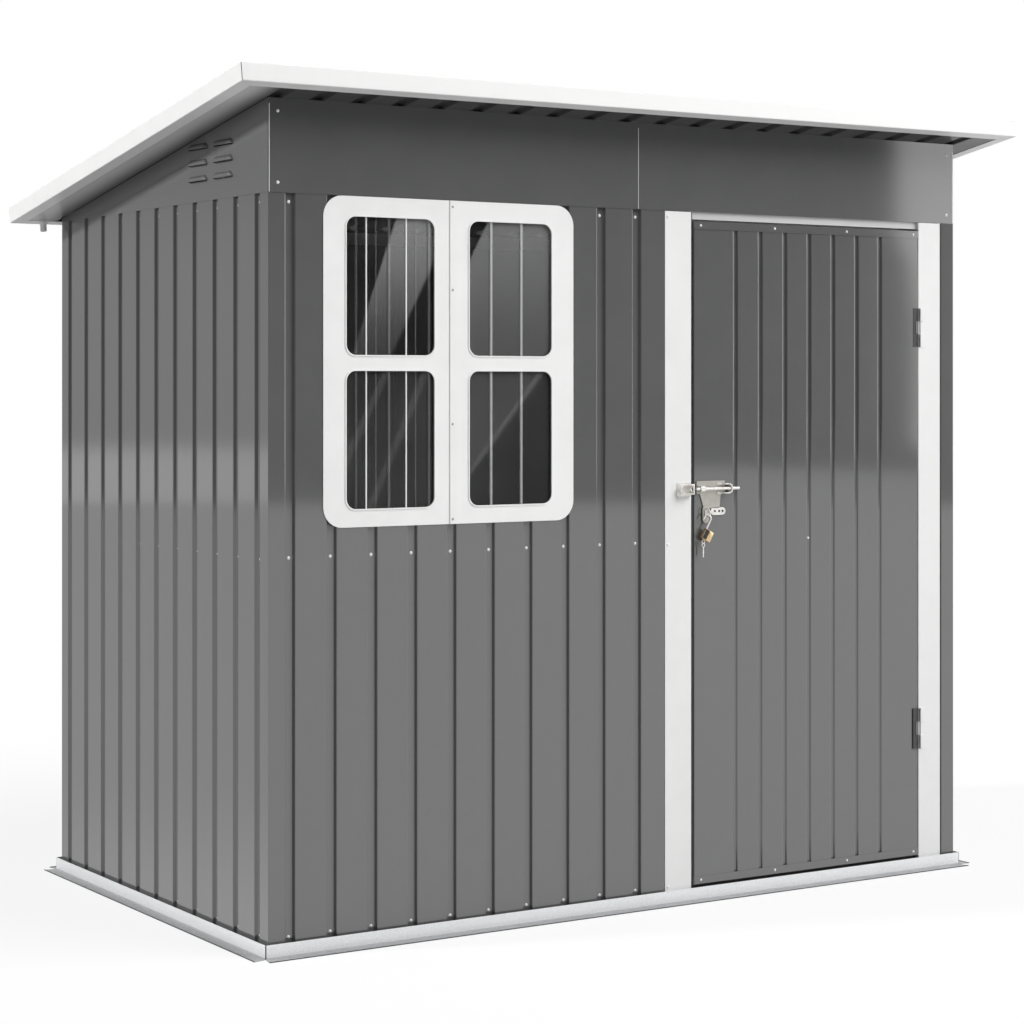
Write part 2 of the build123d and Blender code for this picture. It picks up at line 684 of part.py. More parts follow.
def latch():
    """Slide bolt on the door: a tongued plate with a guide, a collar, a tab and the staple."""
    outline = [
        (PLATE_X[0], PLATE_Z[1]),
        (PLATE_X[0], PLATE_Z[0]),
        (TONGUE_TOP_X[0], PLATE_Z[0]),
        (TONGUE_FOOT_X[0], TONGUE_FOOT_Z),
        (TONGUE_FOOT_X[1], TONGUE_FOOT_Z),
        (TONGUE_TOP_X[1], PLATE_Z[0]),
        (PLATE_X[1], PLATE_Z[0]),
        (PLATE_X[1], PLATE_Z[1]),
    ]
    tab = SlotOverall(TAB_X[1] - TAB_X[0], TAB_Z[1] - TAB_Z[0])
    for offset in TAB_HOLES:
        tab -= Pos(offset, 0) * Circle(TAB_HOLE_RADIUS)
    tab = Pos(sum(TAB_X) / 2, sum(TAB_Z) / 2) * tab
    lug = Pos(LUG_X, LUG_Z) * SlotOverall(LUG_LENGTH, LUG_WIDTH, rotation=90)
    plate = extrude(front_plane * make_face(Polyline(*outline, close=True)), PLATE_THICKNESS)
    plate += extrude(front_plane * tab, PLATE_THICKNESS)
    plate += extrude(front_plane * lug, PLATE_THICKNESS)
    collar_x0 = front_x(COLLAR_X[0])
    collar_x1 = front_x(COLLAR_X[1])
    reach = ROD_RADIUS + COLLAR_WALL
    y_collar = y_plate - GUIDE_PROUD
    plate += guide(front_x(GUIDE_X[0]), front_x(GUIDE_X[1]), y_plate, closed=False)
    plate += block(collar_x0, collar_x1, y_collar, y_plate, LATCH_Z - reach, LATCH_Z + reach)
    bore_x1 = front_x(GUIDE_X[1]) + ROD_FIT
    plate -= rod(collar_x0 - ROD_FIT, bore_x1, ROD_RADIUS + ROD_FIT)
    save("latch_plate", plate + staple())
    save("bolt", rod(front_x(ROD_X0), front_x(ROD_X1), ROD_RADIUS))


def shackle(bend_z, leg_x):
    """The open shackle: a hook with a short free leg and a long leg down to the body."""
    front = Plane(origin=(0, 0, 0), x_dir=(1, 0, 0), z_dir=(0, -1, 0))
    top = ThreePointArc((-leg_x, bend_z), (0, bend_z + leg_x), (leg_x, bend_z))
    long_leg = Line((leg_x, bend_z), (leg_x, bend_z - SHACKLE_LEG - SHACKLE_SEAT))
    short_leg = Line((-leg_x, bend_z), (-leg_x, bend_z - SHACKLE_TIP))
    path = front * Wire([*short_leg.edges(), *top.edges(), *long_leg.edges()])
    section = Plane(origin=path @ 0, z_dir=path % 0) * RegularPolygon(SHACKLE_WIRE, WIRE_SIDES)
    return sweep(section, path=path)


def key_ring(z):
    """A flat wire ring in the XZ plane."""
    outer = RegularPolygon(KEY_RING + KEY_RING_WIRE, RING_SIDES)
    flat = outer - RegularPolygon(KEY_RING - KEY_RING_WIRE, RING_SIDES)
    return Pos(0, 0, z) * extrude(Plane.XZ * flat, KEY_RING_WIRE, both=True)


def padlock():
    """Padlock hung on the staple: its shackle is open and turned away from the body."""
    leg_x = SHACKLE_BEND + SHACKLE_WIRE
    bend_z = STAPLE_WIRE + SHACKLE_PLAY - SHACKLE_BEND
    body_x0 = leg_x - SHACKLE_INSET
    body_top = bend_z - SHACKLE_LEG
    foot = body_top - LOCK_HEIGHT
    half = LOCK_THICKNESS / 2
    body = block(body_x0, body_x0 + LOCK_WIDTH, -half, half, foot, body_top)
    body = fillet(body.edges().filter_by(Axis.Z), LOCK_CORNER)
    body -= Pos(leg_x, 0, 0) * upright(SHACKLE_WIRE, body_top - SHACKLE_SEAT, body_top)
    near, far = KEY_RING_DROPS
    shaft_top, shaft_foot = KEY_SHAFT_DROPS
    keys = key_ring(-near) + key_ring(-far)
    keys += block(-KEY_SHAFT, KEY_SHAFT, -KEY_RING_WIRE, KEY_RING_WIRE, -shaft_foot, -shaft_top)
    pivot = (front_x(STAPLE_X), y_front - STAPLE_STANDOFF, STAPLE_Z - STAPLE_RING)
    hang = Pos(*pivot) * Rot(0, LOCK_TILT, 0)
    plumb = Rot(0, -LOCK_TILT, 0)
    save("padlock_body", hang * body)
    save("padlock_shackle", hang * shackle(bend_z, leg_x))
    save("padlock_keys", hang * Pos(leg_x + SHACKLE_INSET, 0, foot) * plumb * keys)


def roof():
    """Ribbed roof sheets held in the channel trims, and the beam under them."""
    half_width = roof_width / 2 - SHEET
    ribs = int(roof_width / ROOF_RIB_PITCH) - 1
    first = -ROOF_RIB_PITCH * (ribs - 1) / 2
    centres = [first + ROOF_RIB_PITCH * index for index in range(ribs)]
    plane = Plane(
        origin=roof_plane.from_local_coords((0, SHEET, SHEET)),
        x_dir=(1, 0, 0),
        z_dir=(0, cos(slope), -sin(slope)),
    )
    length = roof_length - 2 * SHEET
    seam = ROOF_RIB_PITCH / 2
    spans = (("roof_sheet_left", -half_width, seam), ("roof_sheet_right", seam, half_width))
    half = ROOF_RIB_BASE / 2
    for name, start, end in spans:
        mine = [centre for centre in centres if start < centre - half and centre + half < end]
        outline = ribbed_outline(
            start, end, mine, ROOF_RIB_BASE, ROOF_RIB_CREST, ROOF_RIB_HEIGHT, SHEET
        )
        outline = [(along, -across) for along, across in outline]
        save(name, pressed_sheet(plane, outline, length))
    middle = roof_length / 2
    foot = SHEET - ROOF_BEAM
    web = block(x_left, x_right, middle, middle + ANGLE_THICKNESS, foot, SHEET)
    flange = block(
        x_left, x_right, middle, middle + ROOF_BEAM_FLANGE, foot, foot + ANGLE_THICKNESS
    )
    save("roof_beam", roof_plane * (web + flange))


def trims():
    """White channels round the roof, cut on the diagonals of its corners, and the spout."""

    def channel(length):
        foot = mitred_bar(length, 0, TRIM_FLANGE, 0, SHEET)
        web = mitred_bar(length, 0, SHEET, SHEET, TRIM_HEIGHT - SHEET)
        cap = mitred_bar(length, 0, TRIM_CAP, TRIM_HEIGHT - SHEET, TRIM_HEIGHT)
        return foot + web + cap

    across = channel(roof_width)
    along = channel(roof_length)
    half = roof_width / 2
    save("roof_trim_front", roof_plane * Pos(-half, 0, 0) * across)
    save("roof_trim_back", roof_plane * Pos(half, roof_length, 0) * Rot(0, 0, 180) * across)
    save("roof_trim_left", roof_plane * Pos(-half, roof_length, 0) * Rot(0, 0, -90) * along)
    save("roof_trim_right", roof_plane * Pos(half, 0, 0) * Rot(0, 0, 90) * along)
    spout = upright(SPOUT_RADIUS, -SPOUT_LENGTH, 0)
    spout -= upright(SPOUT_RADIUS - SPOUT_WALL, -SPOUT_LENGTH, 0)
    spout_v = roof_length - TRIM_FLANGE / 2
    save("drain_spout", roof_plane * Pos(SPOUT_X, spout_v, 0) * spout)


base_rails()
walls()
corner_posts()
rails()
headers()
gables()
corner_strip()
window()
door_frame()
door()
hinges()
keeper()
latch()
padlock()
roof()
trims()
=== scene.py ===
"""Looks of the metal storage shed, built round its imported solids.

Lengths below are in millimetres unless a name ends in _M; meshes are made in metres. +X runs
along the front, +Y to the back, +Z up, and the origin is on the ground under the roof's middle.
"""

from math import cos, radians, sin, tan

import bpy
import numpy as np
from mathutils import Euler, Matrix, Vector


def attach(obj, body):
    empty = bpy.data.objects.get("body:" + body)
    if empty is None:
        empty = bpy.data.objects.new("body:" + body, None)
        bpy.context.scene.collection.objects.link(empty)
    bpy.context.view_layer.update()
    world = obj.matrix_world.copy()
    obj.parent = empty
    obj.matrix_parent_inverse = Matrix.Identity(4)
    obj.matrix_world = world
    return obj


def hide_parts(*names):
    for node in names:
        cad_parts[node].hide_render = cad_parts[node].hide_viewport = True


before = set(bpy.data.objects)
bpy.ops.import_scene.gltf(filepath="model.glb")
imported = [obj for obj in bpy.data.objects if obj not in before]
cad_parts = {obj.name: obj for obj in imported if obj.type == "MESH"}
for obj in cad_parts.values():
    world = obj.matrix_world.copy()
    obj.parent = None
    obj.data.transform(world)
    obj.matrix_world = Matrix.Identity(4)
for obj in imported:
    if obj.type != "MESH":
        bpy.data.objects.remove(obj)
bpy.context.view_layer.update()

MM = 0.001

# Walls
X_LEFT = -950.0
X_RIGHT = 950.0
Y_FRONT = -540.0
Y_BACK = 580.0
WALL_WIDTH = X_RIGHT - X_LEFT
WALL_DEPTH = Y_BACK - Y_FRONT
WALL_TOP = 1593.0
WALL_LAP = 12.0
BACK_RISE = 30.0
SHEET = 1.0
RIB_OPENING = 24.0
RIB_FLOOR = 16.0
RIB_DEPTH = 8.0
RIB_BEND = 2.4
FRONT_RIBS = 51.7 + 98.5 * np.arange(10)
SIDE_RIBS = 51.25 + 101.75 * np.arange(11)
BACK_RIBS = 63.5 + 98.5 * np.arange(19)
FRONT_SEAMS = (199.45, 691.95)
SIDE_SEAM = 610.875
BACK_SEAM = 999.25

# Roof
SLOPE = radians(9.6)
ROOF_FRONT = -647.0
ROOF_HALF_WIDTH = 1062.0
EAVE_Z = 1807.0
TRIM_HEIGHT = 39.0
TRIM_FLANGE = 34.5
TRIM_CAP = 22.0
TRIM_BEND = 2.2
TRIM_GAP = 1.1
ROOF_LENGTH = (2 * 647.0 - TRIM_HEIGHT * sin(SLOPE)) / cos(SLOPE)
ROOF_RIBS = 98.5 * (np.arange(20) - 9.5)
ROOF_RIB_BASE = 34.0
ROOF_RIB_CREST = 22.0
ROOF_RIB_HEIGHT = 9.0
ROOF_RIB_BEND = 4.0
ROOF_SEAM = 49.25
ROOF_LAP = 10.0
# Where the painted light on the roof's underside fades in along X, towards the left eave
EAVE_LIGHT_EDGE = (-1022.0, -945.0)
SPOUT_X = -982.0
SPOUT = (
    (11.0, 0.0), (11.0, -2.0), (8.6, -3.0), (8.0, -4.5), (8.0, -19.5), (7.4, -21.0),
    (6.2, -21.0), (6.0, -20.0), (6.0, -6.0), (0.5, -5.5),
)

# Openings, from the front left corner
WINDOW_X = (128.8, 762.2)
WINDOW_Z = (889.7, 1592.5)
WINDOW_CUT = 20.0
WALL_NOTCH = (165.0, 726.0)
HEADER_SEAM = 941.5
DOOR_MARGIN = 560.0
JAMB_EDGE = 1785.7
PANE_X = ((183.9, 400.0), (489.1, 703.2))
PANE_Z = ((928.3, 1221.6), (1255.7, 1549.5))
GLAZING_MARGIN = 11.0
GLAZING_DEPTH = 3.0
FLUTE_SHARE = 0.6
JAMB_LEFT = (1016.3, 1091.5)
JAMB_RIGHT = (1789.5, 1857.4)
JAMB_THICKNESS = 1.2
JAMB_RETURN = 35.0
JAMB_LAP = 20.0
STRIP_LEAN = 0.7
DOOR_X = (1096.5, 1784.5)
DOOR_Z = (36.0, 1570.0)
DOOR_BODY = (60.0, 1546.0)
DOOR_THICKNESS = 22.0
DOOR_RIBS = 1221.8 + 73.65 * np.arange(7)
DOOR_RIB_OPENING = 11.0
DOOR_RIB_FLOOR = 6.0
DOOR_RIB_DEPTH = 5.0
DOOR_RIB_BEND = 1.6
DOOR_RIB_SOFT_BEND = 5.6
DOOR_FOLD = 20.0
DOOR_BOW = (870.0, 1170.0)
DOOR_BOW_OUT = 1.4
DOOR_BOW_RISE = 2.4
DOOR_MARGIN_LEAN = 0.0037
DOOR_EASE = 60.0
FRAME_FOOT = 6.0
# A dark strip under the door, painted shade of the gap: its heights and its two depths
UNDER_DOOR_SHADOW_Z = (3.0, 34.5)
UNDER_DOOR_SHADOW_Y = (-528.0, -530.0)
# Width of the black strip painted as shadow in the gap at the corner strip
GAP_SHADOW_WIDTH = 4.2

# Flutes pressed in the glazing: place along the front, half width, and the share of white that
# paints a highlight along each
FLUTES = (
    (234.2, 2.2, 0.90), (332.4, 2.2, 0.90), (257.8, 2.0, 0.05), (355.8, 2.0, 0.05),
    (208.7, 4.5, 0.03), (289.2, 4.5, 0.05), (388.5, 4.5, 0.04),
    (547.0, 4.5, 0.24), (625.7, 4.5, 0.24),
)

# Painted glare, bands of painted reflection on the panes: lean and place of both edges, (right
# half, upper pane), (top, foot) shares
GLARE = (
    ((0.367, -1.2097), (0.519, -1.3052), (0, 1), (0.125, 0.022)),
    ((0.548, -1.2593), (0.548, -0.9000), (1, 1), (0.10, 0.05)),
    ((0.851, -1.3157), (0.851, -1.2977), (1, 0), (0.025, 0.015)),
    ((0.851, -1.6000), (0.851, -1.3057), (1, 0), (0.018, 0.018)),
    ((0.476, -1.1578), (0.476, -1.1398), (0, 0), (0.018, 0.018)),
    ((0.519, -1.3076), (0.519, -1.2896), (0, 0), (0.018, 0.018)),
)

# Louvres in the gables
LOUVRE_LENGTH = 90.0
LOUVRE_HEIGHT = 12.0
LOUVRE_PROUD = 8.0
LOUVRE_COLUMNS = (210.0, 335.0)
LOUVRE_ROWS = (1638.0, 1673.0, 1708.0)
LOUVRE_SLOT = 0.6
GABLE_BEND = 2.0
# Bright strips on bare cut edges, widened into painted highlights: inset below the roof, and the
# gables' strips' insets from the corner
CUT_EDGE_HIGHLIGHT_INSET = 12.0
CUT_EDGE_HIGHLIGHT_X = (1.2, 2.8)

# Base rail
RAIL_STANDOFF = 11.0
RAIL_TOE = 28.0
RAIL_HEEL = 26.0
RAIL_HEIGHT = 30.0
RAIL_BEND = 2.0
RAIL_GAP = 2.0
TOE_CUT = -18.0
# Painted contact shadow along each rail toe's outer edge: its section's sides and heights
CONTACT_SHADOW_SIDE = (-0.7, -0.9, -0.5, 0.6, 1.0, 1.0)
CONTACT_SHADOW_HEIGHT = (0.05, 1.6, 2.2, 2.2, 1.6, 0.05)

# Sealant behind the corners: how far in along X its four edges lie
TRIM_SEALANT = (0.5, 3.4, 3.9, 1.1)
RAIL_SEALANT = (0.4, 3.6, 4.2, 1.1)
SEALANT_FOOT = 1.2
RAIL_SEALANT_TOP = 29.6

# Hinges
HINGE_X = 837.0
HINGE_Y = -546.0
HINGE_Z = ((296.8, 395.9), (1285.6, 1380.9))
HINGE_LEAF = (818.3, 834.3)
HINGE_LEAF_THICKNESS = 2.2
HINGE_ROLL = (8.8, 1.6)
HINGE_GAP = 0.3
JAMB_LEAF = 14.5
BARREL = 1.4

# Latch
LATCH_Z = 951.0
ROD_Y = Y_FRONT - 8.5
ROD_RADIUS = 3.5
ROD_X = (1100.0, 1225.0)
PLATE = 1.5
GUIDE_BAR = 3.0
GUIDE_HALF = 12.0
GUIDE_PROUD = 13.5
GUIDE_X = (1154.0, 1203.0)
COLLAR_X = (1111.0, 1123.0)
KEEPER_X = (1050.0, 1090.0)
KEEPER_Z = (934.0, 966.0)
KEEPER_EYE = 4.75
TAB_X = (1147.0, 1190.0)
TAB_Z = (889.0, 907.0)
TAB_HOLES = (-9.0, 3.0, 13.0)
TAB_HOLE = 3.0
TAB_CELLS = (-60.0, -3.0, 8.0, 60.0)
EYE_BEVEL = 0.25
STAPLE = (1130.0, 896.0)
STAPLE_RING = 9.0
STAPLE_WIRE = 1.75
STAPLE_STANDOFF = 12.0
LUG = (1132.0, 892.0)
LUG_SIZE = (18.0, 42.0)
TONGUE = (
    (1106, 969), (1106, 939), (1116, 939), (1127, 905), (1172, 905), (1177, 939), (1188, 939),
    (1188, 969),
)
TONGUE_CORNERS = (1.5, 1.5, 5, 2, 2, 6, 1.5, 1.5)
GUIDE_FOOT = (14.0, 2.0)
COLLAR_HALF = 6.2
COLLAR_REACH = 5.0
COLLAR_BEND = 4.2

# Padlock
LOCK_TILT = radians(30.0)
LOCK_SHIFT = 3.0
LOCK_WIDTH = 25.0
LOCK_HEIGHT = 25.0
LOCK_HALF_DEPTH = 5.0
SHACKLE_WIRE = 2.0
SHACKLE_BEND = 7.0
SHACKLE_LEG = 23.0
SHACKLE_TIP = 8.0
SHACKLE_PLAY = 0.25
SHACKLE_INSET = 4.0
KEY_RING = 4.0
KEY_WIRE = 1.0
KEY_DROPS = (5.4, 14.0)
KEY_BLADE = (
    (-1.5, -42.0), (0.6, -42.0), (1.5, -40.8), (0.9, -36.0), (1.5, -33.0), (1.5, -18.0),
    (-1.5, -18.0),
)
KEY_HALF = 0.8
LOCK_EDGE = ((1.2, 0.0), (0.3, 0.3), (0.0, 1.2))
COVER_SHARE = 0.48
COVER_INSET = 0.8
COVER_PROUD = 0.35

# Fasteners: heights, and places along the front
SCREW_ROWS = (1575.0, 826.0, 38.0)
SILL_SCREWS = 830.0
HEADER_SCREWS = (1763.0, 1614.0)
JAMB_SCREWS = (1579.0, 825.0, 38.0)
JAMB_SCREW_X = 1024.2
CAP_SCREWS = (1118.7, 1336.5, 1557.4, 1769.2)
RIVET_X = 445.7
RIVETS = (1578.8, 1398.3, 1106.9, 900.3)

# Studio
PURE = (1.0, 1.0, 1.0, 1.0)
FLOOR_RADII = np.array([2000.0, 6000.0, 20000.0])


# Shader maths

class Value:
    """A shader socket that Python's operators work on, each by one Math node."""

    def __init__(self, finish, socket):
        self.finish = finish
        self.socket = socket

    def join(self, operation, first, second=0.0):
        return self.finish.node(
            "ShaderNodeMath", {"operation": operation}, {0: first, 1: second}
        )

    def __add__(self, other):
        return self.join("ADD", self, other)

    def __radd__(self, other):
        return self.join("ADD", other, self)

    def __sub__(self, other):
        return self.join("SUBTRACT", self, other)

    def __rsub__(self, other):
        return self.join("SUBTRACT", other, self)

    def __mul__(self, other):
        return self.join("MULTIPLY", self, other)

    def __rmul__(self, other):
        return self.join("MULTIPLY", other, self)

    def __gt__(self, other):
        return self.join("GREATER_THAN", self, other)


class Finish:
    """A node tree, written with one method for nodes and operators for numbers."""

    def __init__(self, tree):
        self.tree = tree
        tree.nodes.clear()

    def node(self, kind, settings=None, sockets=None, output=0):
        """Adds a node: its settings are set first, then the values or links of its sockets."""
        node = self.tree.nodes.new(kind)
        for key, value in (settings or {}).items():
            setattr(node, key, value)
        for key, value in (sockets or {}).items():
            if isinstance(value, Value):
                self.tree.links.new(value.socket, node.inputs[key])
            else:
                node.inputs[key].default_value = value
        return Value(self, node.outputs[output]) if node.outputs else None

    def place(self, scale=(1.0, 1.0, 1.0)):
        """Object coordinates in metres, stretched."""
        point = self.node("ShaderNodeTexCoord", output=3)
        return self.node("ShaderNodeMapping", None, {0: point, 3: scale})

    def axes(self, vector):
        """The three parts of a vector."""
        parts = self.node("ShaderNodeSeparateXYZ", None, {0: vector}).socket.node
        return tuple(Value(self, parts.outputs[index]) for index in range(3))

    def rays(self):
        """Shares of camera, glossy and transmission rays."""
        path = self.node("ShaderNodeLightPath").socket.node
        names = ("Is Camera Ray", "Is Glossy Ray", "Is Transmission Ray")
        return tuple(Value(self, path.outputs[name]) for name in names)

    def noise(self, where, scale, detail=2.0, roughness=0.5):
        """Smooth random values from 0 to 1."""
        sockets = {"Vector": where, "Scale": scale, "Detail": detail, "Roughness": roughness}
        return self.node("ShaderNodeTexNoise", None, sockets)

    def smooth(self, value, low, high, start=0.0, end=1.0):
        """Runs from start to end as the value goes from low to high, eased at both."""
        sockets = {0: value, 1: low, 2: high, 3: start, 4: end}
        return self.node("ShaderNodeMapRange", {"interpolation_type": "SMOOTHSTEP"}, sockets)

    def blend(self, share, first, second):
        """A mix of two colours."""
        pair = {0: share, 6: (*first, 1.0), 7: (*second, 1.0)}
        return self.node("ShaderNodeMix", {"data_type": "RGBA"}, pair, output=2)

    def bump(self, height, depth_m, strength=1.0, under=None):
        """A normal bent by a height in shares of a depth, over another bump if there is one."""
        sockets = {"Height": height, "Distance": depth_m, "Strength": strength}
        if under is not None:
            sockets["Normal"] = under
        return self.node("ShaderNodeBump", None, sockets)

    def coat(self, sockets):
        """Ends the tree with a Principled surface."""
        shader = self.node("ShaderNodeBsdfPrincipled", None, sockets)
        self.node("ShaderNodeOutputMaterial", None, {"Surface": shader})


def material(name):
    """A new material and the tree that its finish is written in."""
    made = bpy.data.materials.new(name)
    made.use_nodes = True
    return made, Finish(made.node_tree)


def sheet_coat(name, grain, inward, margin=0.0):
    """Grey coil coating: a dull pigmented film under a clear gloss, with long soft waves.

    The side of the sheet that faces inward is darkened as painted shade; given a margin, it
    lightens towards the left eave's edge as painted light.
    """
    made, f = material(name)
    dust = f.noise(f.place(), 9.0, 5.0, 0.62)
    waves = f.bump(f.noise(f.place(grain), 1.0, 1.0), 0.0012)
    facing = f.node("ShaderNodeTexCoord", output=1)
    inner = f.node("ShaderNodeVectorMath", {"operation": "DOT_PRODUCT"}, {0: facing, 1: inward}, 1)
    inner = f.smooth(inner, 0.15, 0.35)
    x, _, _ = f.axes(f.node("ShaderNodeTexCoord", output=3))
    # Painted light: past the margin the inward side lightens towards the left eave's edge
    edge = f.smooth(x, EAVE_LIGHT_EDGE[0] * MM, EAVE_LIGHT_EDGE[1] * MM, margin, 0.0)
    face = f.blend(f.smooth(dust, 0.3, 0.7), (0.099, 0.099, 0.101), (0.107, 0.107, 0.108))
    # The inward side: dark as painted shade, pale by the left eave as painted light
    back = f.blend(edge, (0.040, 0.040, 0.041), (0.60, 0.60, 0.60))
    sides = {0: inner, 6: face, 7: back}
    f.coat({
        "Base Color": f.node("ShaderNodeMix", {"data_type": "RGBA"}, sides, 2),
        "Roughness": f.smooth(dust, 0.25, 0.75, 0.46, 0.56),
        "Specular IOR Level": 0.2,
        "Coat Weight": f.smooth(dust, 0.2, 0.8, 1.0, 0.93) * f.smooth(inner, 0.0, 1.0, 1.0, 0.25),
        "Coat Roughness": 0.05,
        "Coat IOR": 1.82,
        "Normal": f.bump(f.noise(f.place(), 420.0), 0.00001, 0.5, waves),
    })
    return made


def white_coat(name, tone, gloss):
    """White coating or moulding with a faint peel and a little dust."""
    made, f = material(name)
    dust = f.noise(f.place(), 14.0, 5.0, 0.6)
    darker = tuple(0.97 * part for part in tone)
    f.coat({
        "Base Color": f.blend(f.smooth(dust, 0.25, 0.7), darker, tone),
        "Roughness": f.smooth(dust, 0.3, 0.7, gloss, gloss + 0.12),
        "Normal": f.bump(f.noise(f.place(), 300.0), 0.00002, 0.5),
    })
    return made


def zinc_spangle(name, dark, light, flake_m, foot=1.0):
    """Galvanised steel: small crystal flakes that differ a little in tone; the foot is darkened as
    painted shade.
    """
    made, f = material(name)
    _, _, z = f.axes(f.node("ShaderNodeTexCoord", output=3))
    streaks = f.noise(f.place((9.0, 9.0, 160.0)), 1.0, 3.0)
    sockets = {"Vector": f.place(), "Scale": 1.0 / flake_m}
    flakes = f.node("ShaderNodeTexVoronoi", None, sockets, 1)
    flake = f.node("ShaderNodeSeparateColor", None, {0: flakes})
    share = flake * 0.6 + streaks * 0.4
    # Painted shade: the lowest few millimetres are darkened by the foot's share
    foot_shade = f.smooth(z, 0.002, 0.0045, foot, 1.0)
    metal = f.blend(share, dark, light)
    f.coat({
        "Base Color": f.node("ShaderNodeVectorMath", {"operation": "SCALE"}, {0: metal, 3: foot_shade}),
        "Metallic": 0.5,
        "Roughness": f.smooth(share, 0.0, 1.0, 0.56, 0.40),
        "Normal": f.bump(share, 0.00002, 0.3),
    })
    return made


def plate_metal(name, tone, low, high, metallic=1.0):
    """Plated, bare or painted metal with faint draw marks and uneven gloss."""
    made, f = material(name)
    patches = f.noise(f.place(), 60.0, 3.0)
    darker = tuple(0.88 * part for part in tone)
    f.coat({
        "Base Color": f.blend(f.smooth(patches, 0.3, 0.7), darker, tone),
        "Metallic": metallic,
        "Roughness": f.smooth(patches, 0.25, 0.75, low, high),
        "Normal": f.bump(f.noise(f.place((30.0, 30.0, 700.0)), 1.0), 0.00001, 0.4),
    })
    return made


def clear_sheet(name):
    """Clear glazing: see-through with a faint random haze, its flutes whitened as painted
    highlights, and bands of painted glare.
    """
    made, f = material(name)
    x, _, z = f.axes(f.node("ShaderNodeTexCoord", output=3))
    alpha = f.smooth(f.noise(f.place(), 5.0), 0.3, 0.7, 0.004, 0.012)
    # Painted highlights: each flute is whitened along its middle by its share
    for centre, half, highlight_share in FLUTES:
        offset = x - (X_LEFT + centre) * MM
        reach = (half * MM) ** 2
        alpha = f.smooth(offset * offset, reach * 0.2, reach, highlight_share, 0.0) + alpha
    right_half = x > (X_LEFT + (PANE_X[0][1] + PANE_X[1][0]) / 2) * MM
    upper = z > (PANE_Z[0][1] + PANE_Z[1][0]) / 2 * MM
    # Painted light: the lower panes are whitened a little more than the upper
    alpha = alpha + (1.0 - upper) * 0.014
    # Painted glare: diagonal white bands across the panes stand in for reflections
    for (near_lean, near), (far_lean, far), (side, level), (strong, weak) in GLARE:
        start = f.smooth(x - z * near_lean, near - 0.004, near + 0.004)
        end = f.smooth(x - z * far_lean, far - 0.006, far + 0.006, 1.0, 0.0)
        foot, top = PANE_Z[level]
        amount = f.smooth(z, foot * MM, top * MM, weak, strong)
        across = right_half if side else 1.0 - right_half
        height = upper if level else 1.0 - upper
        alpha = start * end * across * height * amount + alpha
    f.coat({
        "Base Color": f.blend(f.noise(f.place(), 30.0), (0.86, 0.87, 0.87), (0.90, 0.90, 0.90)),
        "Roughness": 0.12,
        "Alpha": alpha,
    })
    return made


# Grey sheet finishes: their inward faces are darkened as painted shade, and the roof's underside
# lightens towards the left eave as painted light
GREY_FRONT = sheet_coat("grey_coat_front", (3.0, 3.0, 0.7), (0.0, 1.0, 0.0))
GREY_BACK = sheet_coat("grey_coat_back", (3.0, 3.0, 0.7), (0.0, -1.0, 0.0))
GREY_LEFT = sheet_coat("grey_coat_left", (3.0, 3.0, 0.7), (1.0, 0.0, 0.0))
GREY_RIGHT = sheet_coat("grey_coat_right", (3.0, 3.0, 0.7), (-1.0, 0.0, 0.0))
GREY_ROOF = sheet_coat("grey_coat_roof", (4.0, 0.8, 1.0), (0.0, 0.0, -1.0), 1.0)
WHITE = white_coat("white_coat", (0.84, 0.84, 0.835), 0.34)
PLASTIC = white_coat("white_moulding", (0.89, 0.89, 0.885), 0.30)
# The last value darkens the lowest few millimetres to half, as painted shade
ZINC = zinc_spangle("galvanised_spangle", (0.76, 0.78, 0.79), (0.94, 0.95, 0.96), 0.0016, 0.50)
ZINC_PLAIN = zinc_spangle("galvanised_plain", (0.58, 0.58, 0.58), (0.64, 0.64, 0.64), 0.0010)
PLATED = plate_metal("bright_nickel_plate", (0.93, 0.91, 0.87), 0.18, 0.32, 0.45)
SATIN = plate_metal("satin_nickel_plate", (0.50, 0.48, 0.44), 0.36, 0.50, 0.6)
# DARK is painted shade: in the gap under the door, and as contact shadow along the rails
DARK = plate_metal("painted_shadow_dark", (0.050, 0.050, 0.053), 0.35, 0.50, 0.0)
HINGE_GREY = plate_metal("hinge_paint", (0.055, 0.055, 0.057), 0.35, 0.50, 0.0)
BARREL_GREY = plate_metal("barrel_paint", (0.17, 0.17, 0.17), 0.30, 0.45, 0.0)
# BLACK serves real black parts, and also paints shadow in the gaps beside the door and the corner
# strip
BLACK = plate_metal("black_parts_and_gap_shadows", (0.012, 0.014, 0.014), 0.30, 0.45, 0.0)
BRASS = plate_metal("brass_metal", (0.76, 0.56, 0.32), 0.20, 0.36)
CLEAR = clear_sheet("clear_window")
SCREW = plate_metal("screw_plate", (0.90, 0.90, 0.89), 0.25, 0.40, 0.3)


# Mesh making

